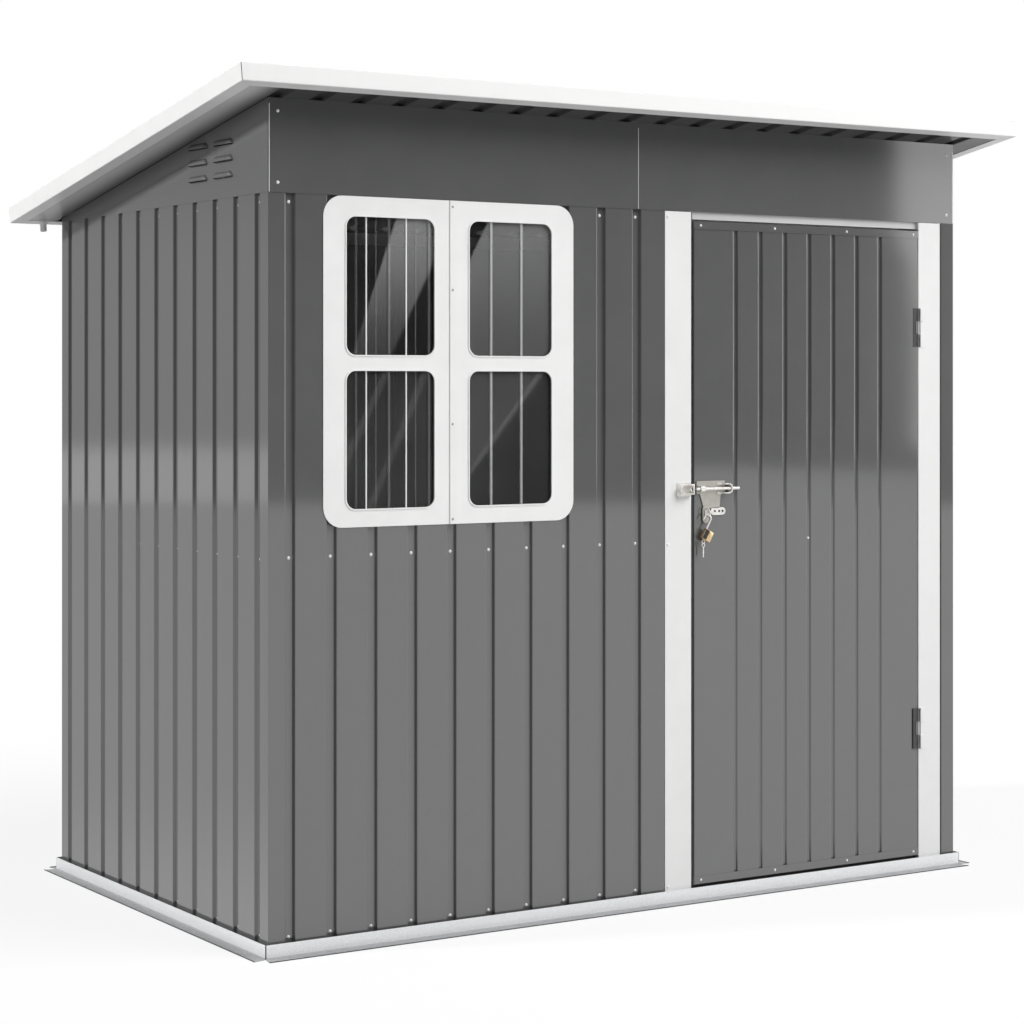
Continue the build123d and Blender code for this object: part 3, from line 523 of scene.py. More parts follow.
def rounded(points, radius, steps=4, hold=0.4):
    """The line with its inner corners as tangent arcs: the arc's centre plus its turned arm.

    A point is held on the straight at each end of an arc, so that the flats shade flat.
    """
    line = np.asarray(points, float)
    before = line[1:-1] - line[:-2]
    after = line[2:] - line[1:-1]
    before /= np.linalg.norm(before, axis=1, keepdims=True)
    after /= np.linalg.norm(after, axis=1, keepdims=True)
    turn = np.arctan2(
        before[:, 0] * after[:, 1] - before[:, 1] * after[:, 0], (before * after).sum(1)
    )
    radius = np.broadcast_to(radius, turn.shape)
    reach = radius * np.tan(np.abs(turn) / 2)
    first = line[1:-1] - before * reach[:, None]
    square = np.stack([-before[:, 1], before[:, 0]], 1) * np.sign(turn)[:, None]
    centre = first + square * radius[:, None]
    angle = turn[:, None] * np.linspace(0, 1, steps + 1)
    arm = (first - centre)[:, None, :]
    arc_u = centre[:, None, 0] + arm[..., 0] * np.cos(angle) - arm[..., 1] * np.sin(angle)
    arc_v = centre[:, None, 1] + arm[..., 0] * np.sin(angle) + arm[..., 1] * np.cos(angle)
    arcs = np.stack([arc_u, arc_v], -1)
    if hold:
        enter = (first - before * hold)[:, None, :]
        leave = (line[1:-1] + after * (reach[:, None] + hold))[:, None, :]
        arcs = np.concatenate([enter, arcs, leave], 1)
    return np.vstack([line[:1], arcs.reshape(-1, 2), line[-1:]])


def rounded_loop(points, radius, steps=4):
    """A closed outline with round corners."""
    line = np.asarray(points, float)
    return rounded(np.vstack([line[-1:], line, line[:1]]), radius, steps, 0.0)[1:-1]


def box_outline(x0, x1, z0, z1):
    """The four corners of an upright rectangle, anticlockwise."""
    return [(x0, z0), (x1, z0), (x1, z1), (x0, z1)]


def beside(line, distance, closed=False):
    """The line moved to its left by a distance, mitred at every point."""
    ends = np.vstack([line, line[:1]]) if closed else line
    run = np.diff(ends, axis=0)
    run /= np.linalg.norm(run, axis=1, keepdims=True)
    left = np.stack([-run[:, 1], run[:, 0]], 1)
    if closed:
        first = np.roll(left, 1, axis=0)
        second = left
    else:
        first = np.vstack([left[:1], left])
        second = np.vstack([left, left[-1:]])
    mean = first + second
    mean /= (mean * first).sum(1)[:, None]
    return line + mean * distance


def rib_corners(centres, opening, floor, depth):
    """Places along and depths of the four corners of every rib."""
    offsets = np.array([-opening, -floor, floor, opening]) / 2
    along = (np.asarray(centres)[:, None] + offsets).ravel()
    return along, np.tile([0.0, depth, depth, 0.0], len(centres))


def ribbed_line(start, end, centres, opening, floor, depth, bend):
    """Outer skin of a pressed sheet: flat at 0, each rib a rounded trapezoid to +depth."""
    middle = [c for c in centres if start < c - opening / 2 and c + opening / 2 < end]
    along, across = rib_corners(middle, opening, floor, depth)
    line = np.stack([np.r_[start, along, end], np.r_[0.0, across, 0.0]], 1)
    return rounded(line, bend)


def grid_quads(rows, columns):
    """Faces of a grid of points, row by row."""
    index = np.arange(rows * columns).reshape(rows, columns)
    quads = np.stack([index[:-1, :-1], index[1:, :-1], index[1:, 1:], index[:-1, 1:]], -1)
    return quads


def thickened(points, quads, inward):
    """A closed sheet from one skin and its inner points, with a rim along every open edge."""
    count = len(points)
    start = quads.ravel()
    end = np.roll(quads, -1, axis=1).ravel()
    open_edge = ~np.isin(start * count + end, end * count + start)
    a, b = start[open_edge], end[open_edge]
    rim = np.stack([b, a, a + count, b + count], 1)
    faces = np.concatenate([quads, quads[:, ::-1] + count, rim])
    return np.concatenate([points, inward]), faces


def tube(loops, ring=False):
    """Vertices and faces of a bar: closed sections along a path, capped, or joined as a ring."""
    stations, around = loops.shape[:2]
    index = np.arange(stations * around).reshape(stations, around)
    if ring:
        index = np.vstack([index, index[:1]])
    after = np.roll(index, -1, axis=1)
    quads = np.stack([index[:-1], after[:-1], after[1:], index[1:]], -1).reshape(-1, 4)
    caps = [] if ring else [index[0][::-1].tolist(), index[-1].tolist()]
    return loops.reshape(-1, 3), quads, caps


def swept(line, thickness, place, stations, keep=None):
    """A profile carried through stations; place turns profile and station to XYZ."""
    stations = np.asarray(stations, float)
    grids = []
    for skin in (line, beside(line, thickness)):
        grids.append(place(skin[:, :1], skin[:, 1:], stations[None, :]))
    quads = grid_quads(*grids[0].shape[:2])
    if keep is not None:
        quads = quads[keep]
    quads = quads.reshape(-1, 4)
    outer, inner = (grid.reshape(-1, 3) for grid in grids)
    used = np.unique(quads)
    renumber = np.zeros(len(outer), int)
    renumber[used] = np.arange(len(used))
    return thickened(outer[used], renumber[quads], inner[used])


def slab(outline, back, front, bevel=0.3, hollow=None):
    """A flat plate that faces -Y: its outline in XZ drawn out, its front edge bevelled."""
    outline = np.asarray(outline, float)
    if shoelace(outline) < 0:
        outline = outline[::-1]
    toward = np.sign(back - front)
    rings = [(outline, back), (outline, front + toward * bevel)]
    rings.append((beside(outline, bevel, closed=True), front))
    if hollow is not None:
        rings += [(hollow, front), (hollow, back)]
    loops = [spread(ring[:, 0], y, ring[:, 1]) for ring, y in rings]
    return tube(np.stack(loops), ring=hollow is not None)


def shoelace(outline):
    """Signed area of an outline, twice."""
    after = np.roll(outline, -1, axis=0)
    return (outline[:, 0] * after[:, 1] - after[:, 0] * outline[:, 1]).sum()


def carried(path, section, closed=False):
    """A section of (side, depth) points carried along a path in XZ; depth is along Y."""
    loops = []
    for side, depth in section:
        line = beside(path, side, closed)
        loops.append(spread(line[:, 0], depth, line[:, 1]))
    return tube(np.stack(loops, 1), ring=closed)


def round_section(radius, depth=0.0, sides=14):
    """A circle as (side, depth) points."""
    angle = np.linspace(0, 2 * np.pi, sides, endpoint=False)
    return np.stack([radius * np.cos(angle), depth + radius * np.sin(angle)], 1)


def bar_section(width, back, front, bevel):
    """A bar's rectangle with bevelled front corners, as (side, depth) points."""
    half = width / 2
    low = front + np.sign(back - front) * bevel
    return [(-half, back), (-half, low), (bevel - half, front), (half - bevel, front),
            (half, low), (half, back)]


def turned(profile, centre, axis, sides=20):
    """A profile of radius and height turned round an axis through a centre."""
    profile = np.asarray(profile, float)
    angle = np.linspace(0, 2 * np.pi, sides, endpoint=False)
    out = np.asarray(axis, float)
    aside = np.cross(out, (0, 0, 1)) if abs(out[2]) < 0.9 else np.array([1.0, 0.0, 0.0])
    aside /= np.linalg.norm(aside)
    up = np.cross(aside, out)
    ring = np.cos(angle)[:, None] * aside + np.sin(angle)[:, None] * up
    loops = profile[:, None, :1] * ring + profile[:, None, 1:] * out
    return tube(loops + np.asarray(centre, float))


def circle(centre, radius, sides=24):
    """Points of a circle, anticlockwise."""
    angle = np.linspace(0, 2 * np.pi, sides, endpoint=False)
    return np.stack([centre[0] + radius * np.cos(angle), centre[1] + radius * np.sin(angle)], 1)


def arc(centre, radius, start, end, steps=12):
    """Points of an arc between two angles in degrees."""
    angle = np.radians(np.linspace(start, end, steps + 1))
    return np.stack([centre[0] + radius * np.cos(angle), centre[1] + radius * np.sin(angle)], 1)


def stadium(centre, length, width, steps=10):
    """A round-ended outline, longer along its first axis."""
    reach = (length - width) / 2
    right = arc((centre[0] + reach, centre[1]), width / 2, -90, 90, steps)
    left = arc((centre[0] - reach, centre[1]), width / 2, 90, 270, steps)
    return np.vstack([right, left])


def spread(x, y, z):
    """Points whose three parts broadcast together."""
    return np.stack(np.broadcast_arrays(x, y, z), -1)


def moved(made, change):
    """A part with its points put through a function."""
    return (change(made[0]), *made[1:])


def crossed(made):
    """A part drawn out along Y, turned to run along X."""
    return moved(made, lambda points: points[:, [1, 0, 2]])


def closed(made):
    """The points of a closed mesh, and its faces turned outward."""
    points, quads = made[:2]
    faces = quads.tolist() + (made[2] if len(made) > 2 else [])
    if volume(points - points.mean(0), faces) < 0:
        faces = [face[::-1] for face in faces]
    return points, faces


def volume(points, faces):
    """Six times the signed volume, from each face's fan of triangles."""
    total = 0.0
    for corners in {len(face) for face in faces}:
        block = np.array([face for face in faces if len(face) == corners])
        for step in range(1, corners - 1):
            a, b, c = (points[block[:, i]] for i in (0, step, step + 1))
            total += np.einsum("ij,ij->", a, np.cross(b, c))
    return total


def add_piece(name, parts, finish, body, slot, nodes=(), smooth=35.0):
    """Makes one named piece of closed meshes in millimetres, that rides on a body."""
    points, faces = [], []
    base = 0
    for part, corners in map(closed, parts):
        points.append(part)
        faces += [[base + corner for corner in face] for face in corners]
        base += len(part)
    mesh = bpy.data.meshes.new(name)
    mesh.from_pydata((np.concatenate(points) * MM).tolist(), [], faces)
    mesh.shade_smooth()
    mesh.set_sharp_from_angle(angle=radians(smooth))
    mesh.materials.append(finish)
    thing = bpy.data.objects.new(name, mesh)
    bpy.context.scene.collection.objects.link(thing)
    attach(thing, body)
    if nodes:
        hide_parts(*nodes)


# Walls and roof

def roof_under(y):
    """Height of the roof sheet's underside over a y."""
    return EAVE_Z + SHEET / cos(SLOPE) - (y - ROOF_FRONT) * tan(SLOPE)


def upright(origin_x, origin_y, along, inward):
    """A place function for walls: along the wall, in from its face, and up to the roof."""

    def place(u, w, z):
        x = origin_x + along[0] * u + inward[0] * w
        y = origin_y + along[1] * u + inward[1] * w
        return spread(x, y, np.minimum(z, roof_under(y)))

    return place


FRONT = upright(X_LEFT, Y_FRONT, (1, 0), (0, 1))
LEFT = upright(X_LEFT, Y_FRONT, (0, 1), (1, 0))
RIGHT = upright(X_RIGHT, Y_FRONT, (0, 1), (-1, 0))
BACK = upright(X_RIGHT, Y_BACK, (-1, 0), (0, -1))


def wall(node, place, start, end, ribs, top, finish=GREY_FRONT, notch=None):
    """A ribbed wall sheet carried straight up, with a notch cut over a sill if there is one."""
    line = ribbed_line(start, end, ribs, RIB_OPENING, RIB_FLOOR, RIB_DEPTH, RIB_BEND)
    stations = [SHEET, top]
    keep = None
    if notch is not None:
        edge, side = notch
        spot = np.searchsorted(line[:, 0], edge)
        depth = np.interp(edge, line[:, 0], line[:, 1])
        line = np.insert(line, spot, (edge, depth), axis=0)
        stations = [SHEET, WINDOW_Z[0] + WINDOW_CUT, top]
        middle = (line[1:, 0] + line[:-1, 0]) / 2
        keep = np.stack([middle > 0, (middle - edge) * side > 0], 1)
    made = swept(line, SHEET, place, stations, keep)
    add_piece(node + "_sheet", [made], finish, "shed", "grey_sheet", [node])


def walls():
    """The walls' sheets: notched round the window, and up behind the header or to the roof."""
    top = WALL_TOP + WALL_LAP
    left_seam, right_seam = FRONT_SEAMS
    wall_end = JAMB_LEFT[0] + JAMB_LAP
    sill = WINDOW_Z[0] + WINDOW_CUT
    left_notch = (WALL_NOTCH[0], -1)
    right_notch = (WALL_NOTCH[1], 1)
    wall("front_wall_left", FRONT, 0, left_seam, FRONT_RIBS, top, notch=left_notch)
    wall("front_wall_under_window", FRONT, left_seam, right_seam, FRONT_RIBS, sill)
    wall("front_wall_beside_door", FRONT, right_seam, wall_end, FRONT_RIBS, top, notch=right_notch)
    for side, place, finish in (("left", LEFT, GREY_LEFT), ("right", RIGHT, GREY_RIGHT)):
        wall(side + "_wall_front", place, SHEET, SIDE_SEAM, SIDE_RIBS, top, finish)
        wall(side + "_wall_rear", place, SIDE_SEAM, WALL_DEPTH - SHEET, SIDE_RIBS, top, finish)
    rise = WALL_TOP + BACK_RISE
    wall("back_wall_right", BACK, 0, BACK_SEAM, BACK_RIBS, rise, GREY_BACK)
    wall("back_wall_left", BACK, BACK_SEAM, WALL_WIDTH, BACK_RIBS, rise, GREY_BACK)


def on_roof(x, v, h):
    """Points on the roof: along X, down the slope from the eave, and square out of it."""
    y = ROOF_FRONT + v * cos(SLOPE) + h * sin(SLOPE)
    z = EAVE_Z - v * sin(SLOPE) + h * cos(SLOPE)
    return spread(x, y, z)


def roof():
    """Two ribbed sheets: ribs raised by rounded trapezoids, carried down the slope."""
    seam = ROOF_SEAM + ROOF_RIB_BASE / 2 + ROOF_LAP
    for node, start, end in (
        ("roof_sheet_left", SHEET - ROOF_HALF_WIDTH, seam),
        ("roof_sheet_right", seam, ROOF_HALF_WIDTH - SHEET),
    ):
        line = ribbed_line(
            start, end, ROOF_RIBS, ROOF_RIB_BASE, ROOF_RIB_CREST, ROOF_RIB_HEIGHT, ROOF_RIB_BEND
        )
        stations = (SHEET, ROOF_LENGTH - SHEET)
        made = swept(line, SHEET, lambda u, w, v: on_roof(u, v, w + SHEET), stations)
        add_piece(node + "_pressed", [made], GREY_ROOF, "shed", "grey_sheet", [node])


def mitred(line, length, place, gap, cut=-1000.0):
    """A folded section between two corners, its ends on the diagonals as far out as the cut."""
    grids = []
    for skin in (line, beside(line, -SHEET)):
        inset, height = skin[:, :1], skin[:, 1:]
        end = np.maximum(inset, cut) + gap
        stations = np.concatenate([end, length - end], 1)
        grids.append(place(stations, inset, height))
    quads = grid_quads(*grids[0].shape[:2]).reshape(-1, 4)
    outer, inner = (grid.reshape(-1, 3) for grid in grids)
    return thickened(outer, quads, inner)


def trims():
    """White channels round the roof: flange, face and cap with round folds."""
    half = ROOF_HALF_WIDTH
    line = rounded(
        [(TRIM_FLANGE, 0.0), (0.0, 0.0), (0.0, TRIM_HEIGHT), (TRIM_CAP, TRIM_HEIGHT)], TRIM_BEND
    )
    places = {
        "roof_trim_front": (2 * half, lambda s, p, h: on_roof(s - half, p, h)),
        "roof_trim_back": (2 * half, lambda s, p, h: on_roof(s - half, ROOF_LENGTH - p, h)),
        "roof_trim_left": (ROOF_LENGTH, lambda s, p, h: on_roof(p - half, s, h)),
        "roof_trim_right": (ROOF_LENGTH, lambda s, p, h: on_roof(half - p, s, h)),
    }
    for node, (length, place) in places.items():
        made = mitred(line, length, place, TRIM_GAP)
        add_piece(node + "_channel", [made], WHITE, "shed", "white_trim", [node])


def seams():
    """Dark sealant behind the open mitres, upright at the corners of the trims and rails."""
    rails = (Y_FRONT - RAIL_STANDOFF, Y_BACK + RAIL_STANDOFF)
    corners = (
        (on_roof, ROOF_HALF_WIDTH, (0.0, ROOF_LENGTH), TRIM_SEALANT, TRIM_HEIGHT - SEALANT_FOOT),
        (spread, X_RIGHT + RAIL_STANDOFF, rails, RAIL_SEALANT, RAIL_SEALANT_TOP),
    )
    made = []
    for side in (-1, 1):
        for place, half, ends, insets, top in corners:
            across = np.array(insets)
            along = across[[0, 3, 2, 1]]
            for end, run in zip(ends, (1, -1)):
                made.append(tube(np.stack([
                    place(side * half - side * across, end + run * along, height)
                    for height in (SEALANT_FOOT, top)
                ])))
    add_piece("corner_sealant", made, BLACK, "shed", "dark_hinge")


def spout():
    """The drain pipe under the rear corner: a turned collar and pipe, open at its foot."""
    up = (0.0, sin(SLOPE), cos(SLOPE))
    centre = on_roof(SPOUT_X, ROOF_LENGTH - TRIM_FLANGE / 2, 0.0)
    made = turned(SPOUT, centre, up, 28)
    add_piece("drain_spout_pipe", [made], PLASTIC, "shed", "white_plastic", ["drain_spout"])


def base_rails():
    """The rails' section, a toe bent up to a web, and the heel under the wall, mitred."""
    toe = -RAIL_STANDOFF - RAIL_TOE
    web = -RAIL_STANDOFF
    fold = rounded([(toe, SHEET), (web, SHEET), (web, RAIL_HEIGHT)], RAIL_BEND)
    heel = np.array([(web, SHEET), (RAIL_HEEL, SHEET)])
    places = {
        "base_rail_front": (WALL_WIDTH, lambda s, p, h: spread(X_LEFT + s, Y_FRONT + p, h)),
        "base_rail_back": (WALL_WIDTH, lambda s, p, h: spread(X_LEFT + s, Y_BACK - p, h)),
        "base_rail_left": (WALL_DEPTH, lambda s, p, h: spread(X_LEFT + p, Y_FRONT + s, h)),
        "base_rail_right": (WALL_DEPTH, lambda s, p, h: spread(X_RIGHT - p, Y_FRONT + s, h)),
    }
    contact_shadows = []
    for node, (length, place) in places.items():
        made = [
            mitred(fold, length, place, RAIL_GAP, TOE_CUT),
            mitred(heel, length, place, RAIL_GAP),
        ]
        add_piece(node + "_folded", made, ZINC, "shed", "galvanised", [node])
        # Painted contact shadow: a dark strip along the toe's outer edge, where the rail meets the
        # ground
        start = TOE_CUT + RAIL_GAP
        contact_shadows.append(tube(np.stack([
            place(station, toe + np.array(CONTACT_SHADOW_SIDE), np.array(CONTACT_SHADOW_HEIGHT))
            for station in (start, length - start)
        ])))
    add_piece("base_rail_beads", contact_shadows, DARK, "shed", "dark_hinge")


def cut_edge_highlight(name, x0, x1, proud, bevel, finish):
    """A bare cut edge of sheet, upright on the header, widened and brightened into a painted
    highlight.
    """
    outline = box_outline(x0, x1, WALL_TOP + 1, roof_under(Y_FRONT) - CUT_EDGE_HIGHLIGHT_INSET)
    made = slab(outline, Y_FRONT - SHEET, Y_FRONT - SHEET - proud, bevel)
    add_piece(name, [made], finish, "shed", "galvanised")


def header_seam():
    """The bare edge of the right header sheet where it laps the left one, widened into a painted
    highlight.
    """
    x = X_LEFT + HEADER_SEAM
    cut_edge_highlight("header_cut_edge_highlight", x - 0.7, x + 0.7, 0.3, 0.1, ZINC_PLAIN)


def louvre_height(u, z):
    """Height of the hoods: over each slot, proud * sqrt(1 - (out of the stadium / reach)^2)."""
    height = np.zeros(np.broadcast(u, z).shape)
    half = LOUVRE_LENGTH / 2 - LOUVRE_HEIGHT
    for column in LOUVRE_COLUMNS:
        for row in LOUVRE_ROWS:
            over = np.maximum(np.abs(u - column) - half, 0.0)
            away = np.hypot(over, np.maximum(z - row, 0.0)) / LOUVRE_HEIGHT
            bulge = LOUVRE_PROUD * np.sqrt(np.clip(1.0 - away**2.4, 0.0, 1.0))
            height = np.maximum(height, np.where(z >= row - 0.01, bulge, 0.0))
    return height


def gable(node, side):
    """The gable sheet as a height field, cut open along the foot of every hood."""
    fine = []
    for column in LOUVRE_COLUMNS:
        half = LOUVRE_LENGTH / 2
        ends = np.r_[np.linspace(0, 14, 15), np.linspace(16, half, 8)]
        fine.append(np.r_[column - half + ends, column + half - ends[::-1]])
    fine = np.unique(np.concatenate(fine))
    u = np.unique(np.r_[0.0, 2.0, 60.0, 120.0, fine, 420.0, np.linspace(500, WALL_DEPTH, 8)])
    hood = np.linspace(0, LOUVRE_HEIGHT + 0.5, 14)
    rows = [np.r_[row - LOUVRE_SLOT, row + hood] for row in LOUVRE_ROWS]
    z = np.unique(np.concatenate([[WALL_TOP, WALL_TOP + 20], *rows]))
    last = LOUVRE_COLUMNS[1] + LOUVRE_LENGTH / 2
    roof_at = roof_under(Y_FRONT + u)
    lower = (roof_at - WALL_TOP) / (roof_under(Y_FRONT + last) - WALL_TOP)
    squeeze = np.where(u > last, lower, 1.0)
    heights = WALL_TOP + (z - WALL_TOP)[None, :] * squeeze[:, None]
    heights = np.concatenate([heights, roof_at[:, None]], 1)
    along = np.broadcast_to(u[:, None], heights.shape)
    proud = louvre_height(along, heights) * (along <= last + 0.1)
    turn = np.radians(np.linspace(90, 0, 5))
    front_y = Y_FRONT - SHEET + GABLE_BEND - GABLE_BEND * np.sin(turn)
    front_out = SHEET - GABLE_BEND + GABLE_BEND * np.cos(turn)
    out = np.concatenate([np.repeat(front_out[:, None], heights.shape[1], 1), SHEET + proud[1:]])
    y = np.concatenate([np.repeat(front_y[:, None], heights.shape[1], 1), Y_FRONT + along[1:]])
    level = np.concatenate([np.repeat(heights[:1], 5, 0), heights[1:]])
    edge = X_RIGHT if side > 0 else X_LEFT
    points = np.stack([edge + side * out, y, level], -1)
    normal = np.cross(np.gradient(points, axis=0), np.gradient(points, axis=1))
    normal /= np.linalg.norm(normal, axis=-1, keepdims=True)
    outward = np.sign((normal[..., 0] * side).sum())
    inner = points - normal * outward * SHEET * 0.8
    quads = grid_quads(*points.shape[:2])
    rise = np.abs(out[:, 1:] - out[:, :-1])
    low_edge = np.isin(np.round(z, 3), np.round(np.array(LOUVRE_ROWS) - LOUVRE_SLOT, 3))
    low_edge = np.r_[low_edge, False][:-1]
    cut = (rise[:-1] > 2.0) & (rise[1:] > 2.0) & low_edge[None, :]
    made = thickened(points.reshape(-1, 3), quads[~cut].reshape(-1, 4), inner.reshape(-1, 3))
    finish = GREY_RIGHT if side > 0 else GREY_LEFT
    add_piece(node + "_pressed", [made], finish, "shed", "grey_sheet", [node], smooth=50.0)
    # The bright strip at the gable's front edge: a bare cut edge widened into a painted highlight
    x0, x1 = sorted(edge - side * inset for inset in CUT_EDGE_HIGHLIGHT_X)
    cut_edge_highlight(node + "_cut_edge_highlight", x0, x1, 0.5, 0.2, ZINC)


# Door, its frame and the window

def door_leaf():
    """The door's sheet: folded edge, ribbed face, folded edge, its face very slightly bowed."""
    width = DOOR_X[1] - DOOR_X[0]
    ribs = DOOR_RIBS - DOOR_X[0]
    along, across = rib_corners(ribs, DOOR_RIB_OPENING, DOOR_RIB_FLOOR, DOOR_RIB_DEPTH)
    deep = DOOR_THICKNESS
    line = np.stack([
        np.r_[DOOR_FOLD, 0.0, 0.0, along, width, width, width - DOOR_FOLD],
        np.r_[deep, deep, 0.0, across, 0.0, deep, deep],
    ], 1)
    bends = [DOOR_RIB_BEND] * 2 + [DOOR_RIB_SOFT_BEND, *[DOOR_RIB_BEND] * 3] * len(ribs)
    line = rounded(line, bends + [DOOR_RIB_BEND] * 2)
    flat = upright(X_LEFT + DOOR_X[0], Y_FRONT, (1, 0), (0, 1))

    def place(u, w, z):
        """The flats bow out by a smoothstep of height, and lean out past the last rib."""
        points = flat(u, w, z)
        share = np.clip((z - DOOR_BOW[0]) / (DOOR_BOW[1] - DOOR_BOW[0]), 0.0, 1.0)
        eased = share * share * (3.0 - 2.0 * share)
        face = np.clip(1.0 - w / (DOOR_RIB_DEPTH - 0.1), 0.0, 1.0)
        margin = np.clip(u - DOOR_MARGIN, 0.0, None)
        inside = np.minimum(z - DOOR_BODY[0], DOOR_BODY[1] - z) / DOOR_EASE
        inside = np.clip(inside, 0.0, 1.0)
        bow = DOOR_BOW_OUT - DOOR_BOW_RISE * eased - DOOR_MARGIN_LEAN * margin
        points[..., 1] += bow * face * inside
        return points

    low, high = DOOR_BODY
    stations = np.r_[
        DOOR_Z[0], low, low + DOOR_EASE, np.linspace(680, 1340, 34), high - DOOR_EASE, high,
        DOOR_Z[1],
    ]
    made = swept(line, SHEET, place, stations)
    add_piece("door_sheet", [made], GREY_FRONT, "door", "grey_sheet", ["door_panel"])
    # Painted shadow: a black strip along the door's left edge stands for the shade in its gap
    edge = X_LEFT + DOOR_X[0]
    seal = slab(box_outline(edge + 0.2, edge + 3.2, *DOOR_Z), Y_FRONT - 0.4, Y_FRONT - 1.5, 0.2)
    add_piece("door_edge_gap_shadow", [seal], BLACK, "door", "dark_hinge")


def folded(node, name, points, finish, slot, low, high, bend=2.0):
    """A strip folded along an upright line, given as outer points in plan."""
    made = swept(rounded(points, bend), JAMB_THICKNESS, spread, (low, high))
    add_piece(name, [made], finish, "shed", slot, [node])


def frames():
    """Jambs and the corner strip, folded from white or grey sheet; black strips in their gaps and
    a dark strip under the door are painted shadow.
    """
    face = Y_FRONT - JAMB_THICKNESS
    low, high = FRAME_FOOT, WALL_TOP - SHEET
    left = X_LEFT + JAMB_LEFT[1]
    right = X_LEFT + JAMB_EDGE
    back = Y_FRONT + JAMB_RETURN
    corner = X_RIGHT + JAMB_THICKNESS
    edge = X_LEFT + JAMB_RIGHT[1] - JAMB_THICKNESS

    def strip(name, x0, x1, y0, y1, bevel, finish, slot, heights=(low, high)):
        made = slab(box_outline(x0, x1, *heights), y0, y1, bevel)
        add_piece(name, [made], finish, "shed", slot)

    folded("door_jamb_left", "jamb_left_folded", [
        (X_LEFT + JAMB_LEFT[0], face), (left, face), (left, back),
    ], WHITE, "white_trim", low, high)
    # Painted shadow: a black strip behind the gap between the left jamb and the door
    strip("jamb_left_gap_shadow", left - 1.0, left + 4.3, Y_FRONT + 3.0, Y_FRONT + 2.0, 0.1,
          BLACK, "dark_hinge")
    # Painted shade: a dark strip behind the gap under the door
    strip("under_door_gap_shadow", left, right, *UNDER_DOOR_SHADOW_Y, 0.3, DARK, "dark_hinge", UNDER_DOOR_SHADOW_Z)
    folded("door_jamb_right", "jamb_right_folded", [
        (right, back), (right, face), (X_LEFT + JAMB_RIGHT[1], face),
    ], WHITE, "white_trim", low, high)
    strip("jamb_right_filler", right + JAMB_THICKNESS, X_RIGHT - 2 * SHEET, Y_FRONT + SHEET,
          Y_FRONT, 0.1, WHITE, "white_trim")
    # Painted shadow: a black strip in the gap beside the corner strip
    strip("corner_strip_gap_shadow", edge, edge + GAP_SHADOW_WIDTH, face, face - 0.5, 0.1,
          BLACK, "dark_hinge")
    folded("corner_strip", "corner_strip_folded", [
        (edge + GAP_SHADOW_WIDTH, face), (corner, face - STRIP_LEAN), (corner, Y_FRONT + 30),
    ], GREY_FRONT, "grey_sheet", low, WALL_TOP, bend=3.0)


def glazing():
    """Clear sheets with round flutes: depth = share * half * sqrt(1 - (offset / half)^2)."""
    made = []
    z0 = PANE_Z[0][0] - GLAZING_MARGIN
    z1 = PANE_Z[1][1] + GLAZING_MARGIN
    for pane in PANE_X:
        start = pane[0] - GLAZING_MARGIN
        end = pane[1] + GLAZING_MARGIN
        runs = [np.array([start, end])]
        for centre, half, _ in FLUTES:
            if start < centre < end:
                runs.append(centre + half * np.linspace(-1, 1, 13))
        along = np.unique(np.round(np.concatenate(runs), 3))
        depth = np.zeros(len(along))
        for centre, half, _ in FLUTES:
            away = (along - centre) / half
            round_off = np.sqrt(np.clip(1.0 - away**2, 0.0, 1.0))
            depth = np.maximum(depth, FLUTE_SHARE * half * round_off)
        line = np.stack([along, GLAZING_DEPTH - depth], 1)
        made.append(swept(line, SHEET, FRONT, (z0, z1)))
    add_piece("window_clear_sheets", made, CLEAR, "shed", "clear_sheet", ["window_glazing"])


def hinges():
    """Butt hinges: bevelled leaves, and slim barrels turned with round shoulders."""
    y_jamb = Y_FRONT - JAMB_THICKNESS
    y_leaf = Y_FRONT - HINGE_LEAF_THICKNESS
    leaves, door_barrels, jamb_leaves, jamb_barrels = [], [], [], []
    x0, x1 = HINGE_LEAF

    def barrel(z0, z1):
        r = BARREL
        profile = [(0.3, z0), (r - 0.2, z0), (r, z0 + 0.4), (r, z1 - 0.4), (r - 0.2, z1),
                   (0.3, z1)]
        return turned(profile, (HINGE_X, HINGE_Y, 0), (0, 0, 1), 20)

    for z0, z1 in HINGE_Z:
        low = z0 + (z1 - z0) / 3 + HINGE_GAP
        high = z1 - (z1 - z0) / 3 - HINGE_GAP
        outline = rounded_loop(box_outline(x0, x1, z0, z1), 1.0)
        leaves.append(slab(outline, Y_FRONT, y_leaf))
        start, end = HINGE_ROLL
        roll = rounded_loop(box_outline(x1 - start, x1 - end, low, high), 0.5)
        door_barrels.append(slab(roll, y_leaf, y_leaf - 1.5, 0.6))
        door_barrels.append(barrel(low, high))
        for start, end in ((z0, low - 2 * HINGE_GAP), (high + 2 * HINGE_GAP, z1)):
            jamb_barrels.append(barrel(start, end))
            outline = box_outline(HINGE_X, HINGE_X + JAMB_LEAF, start, end)
            jamb_leaves.append(slab(outline, y_jamb, y_jamb - HINGE_LEAF_THICKNESS, 0.3))
    add_piece("hinge_door_leaves", leaves, HINGE_GREY, "door", "dark_hinge", ["hinge_leaves_door"])
    add_piece("hinge_door_barrels", door_barrels, BARREL_GREY, "door", "dark_hinge")
    add_piece("hinge_jamb_leaves", jamb_leaves, WHITE, "shed", "white_trim", ["hinge_leaves_jamb"])
    add_piece("hinge_jamb_barrels", jamb_barrels, BLACK, "shed", "dark_hinge")


# Latch and padlock

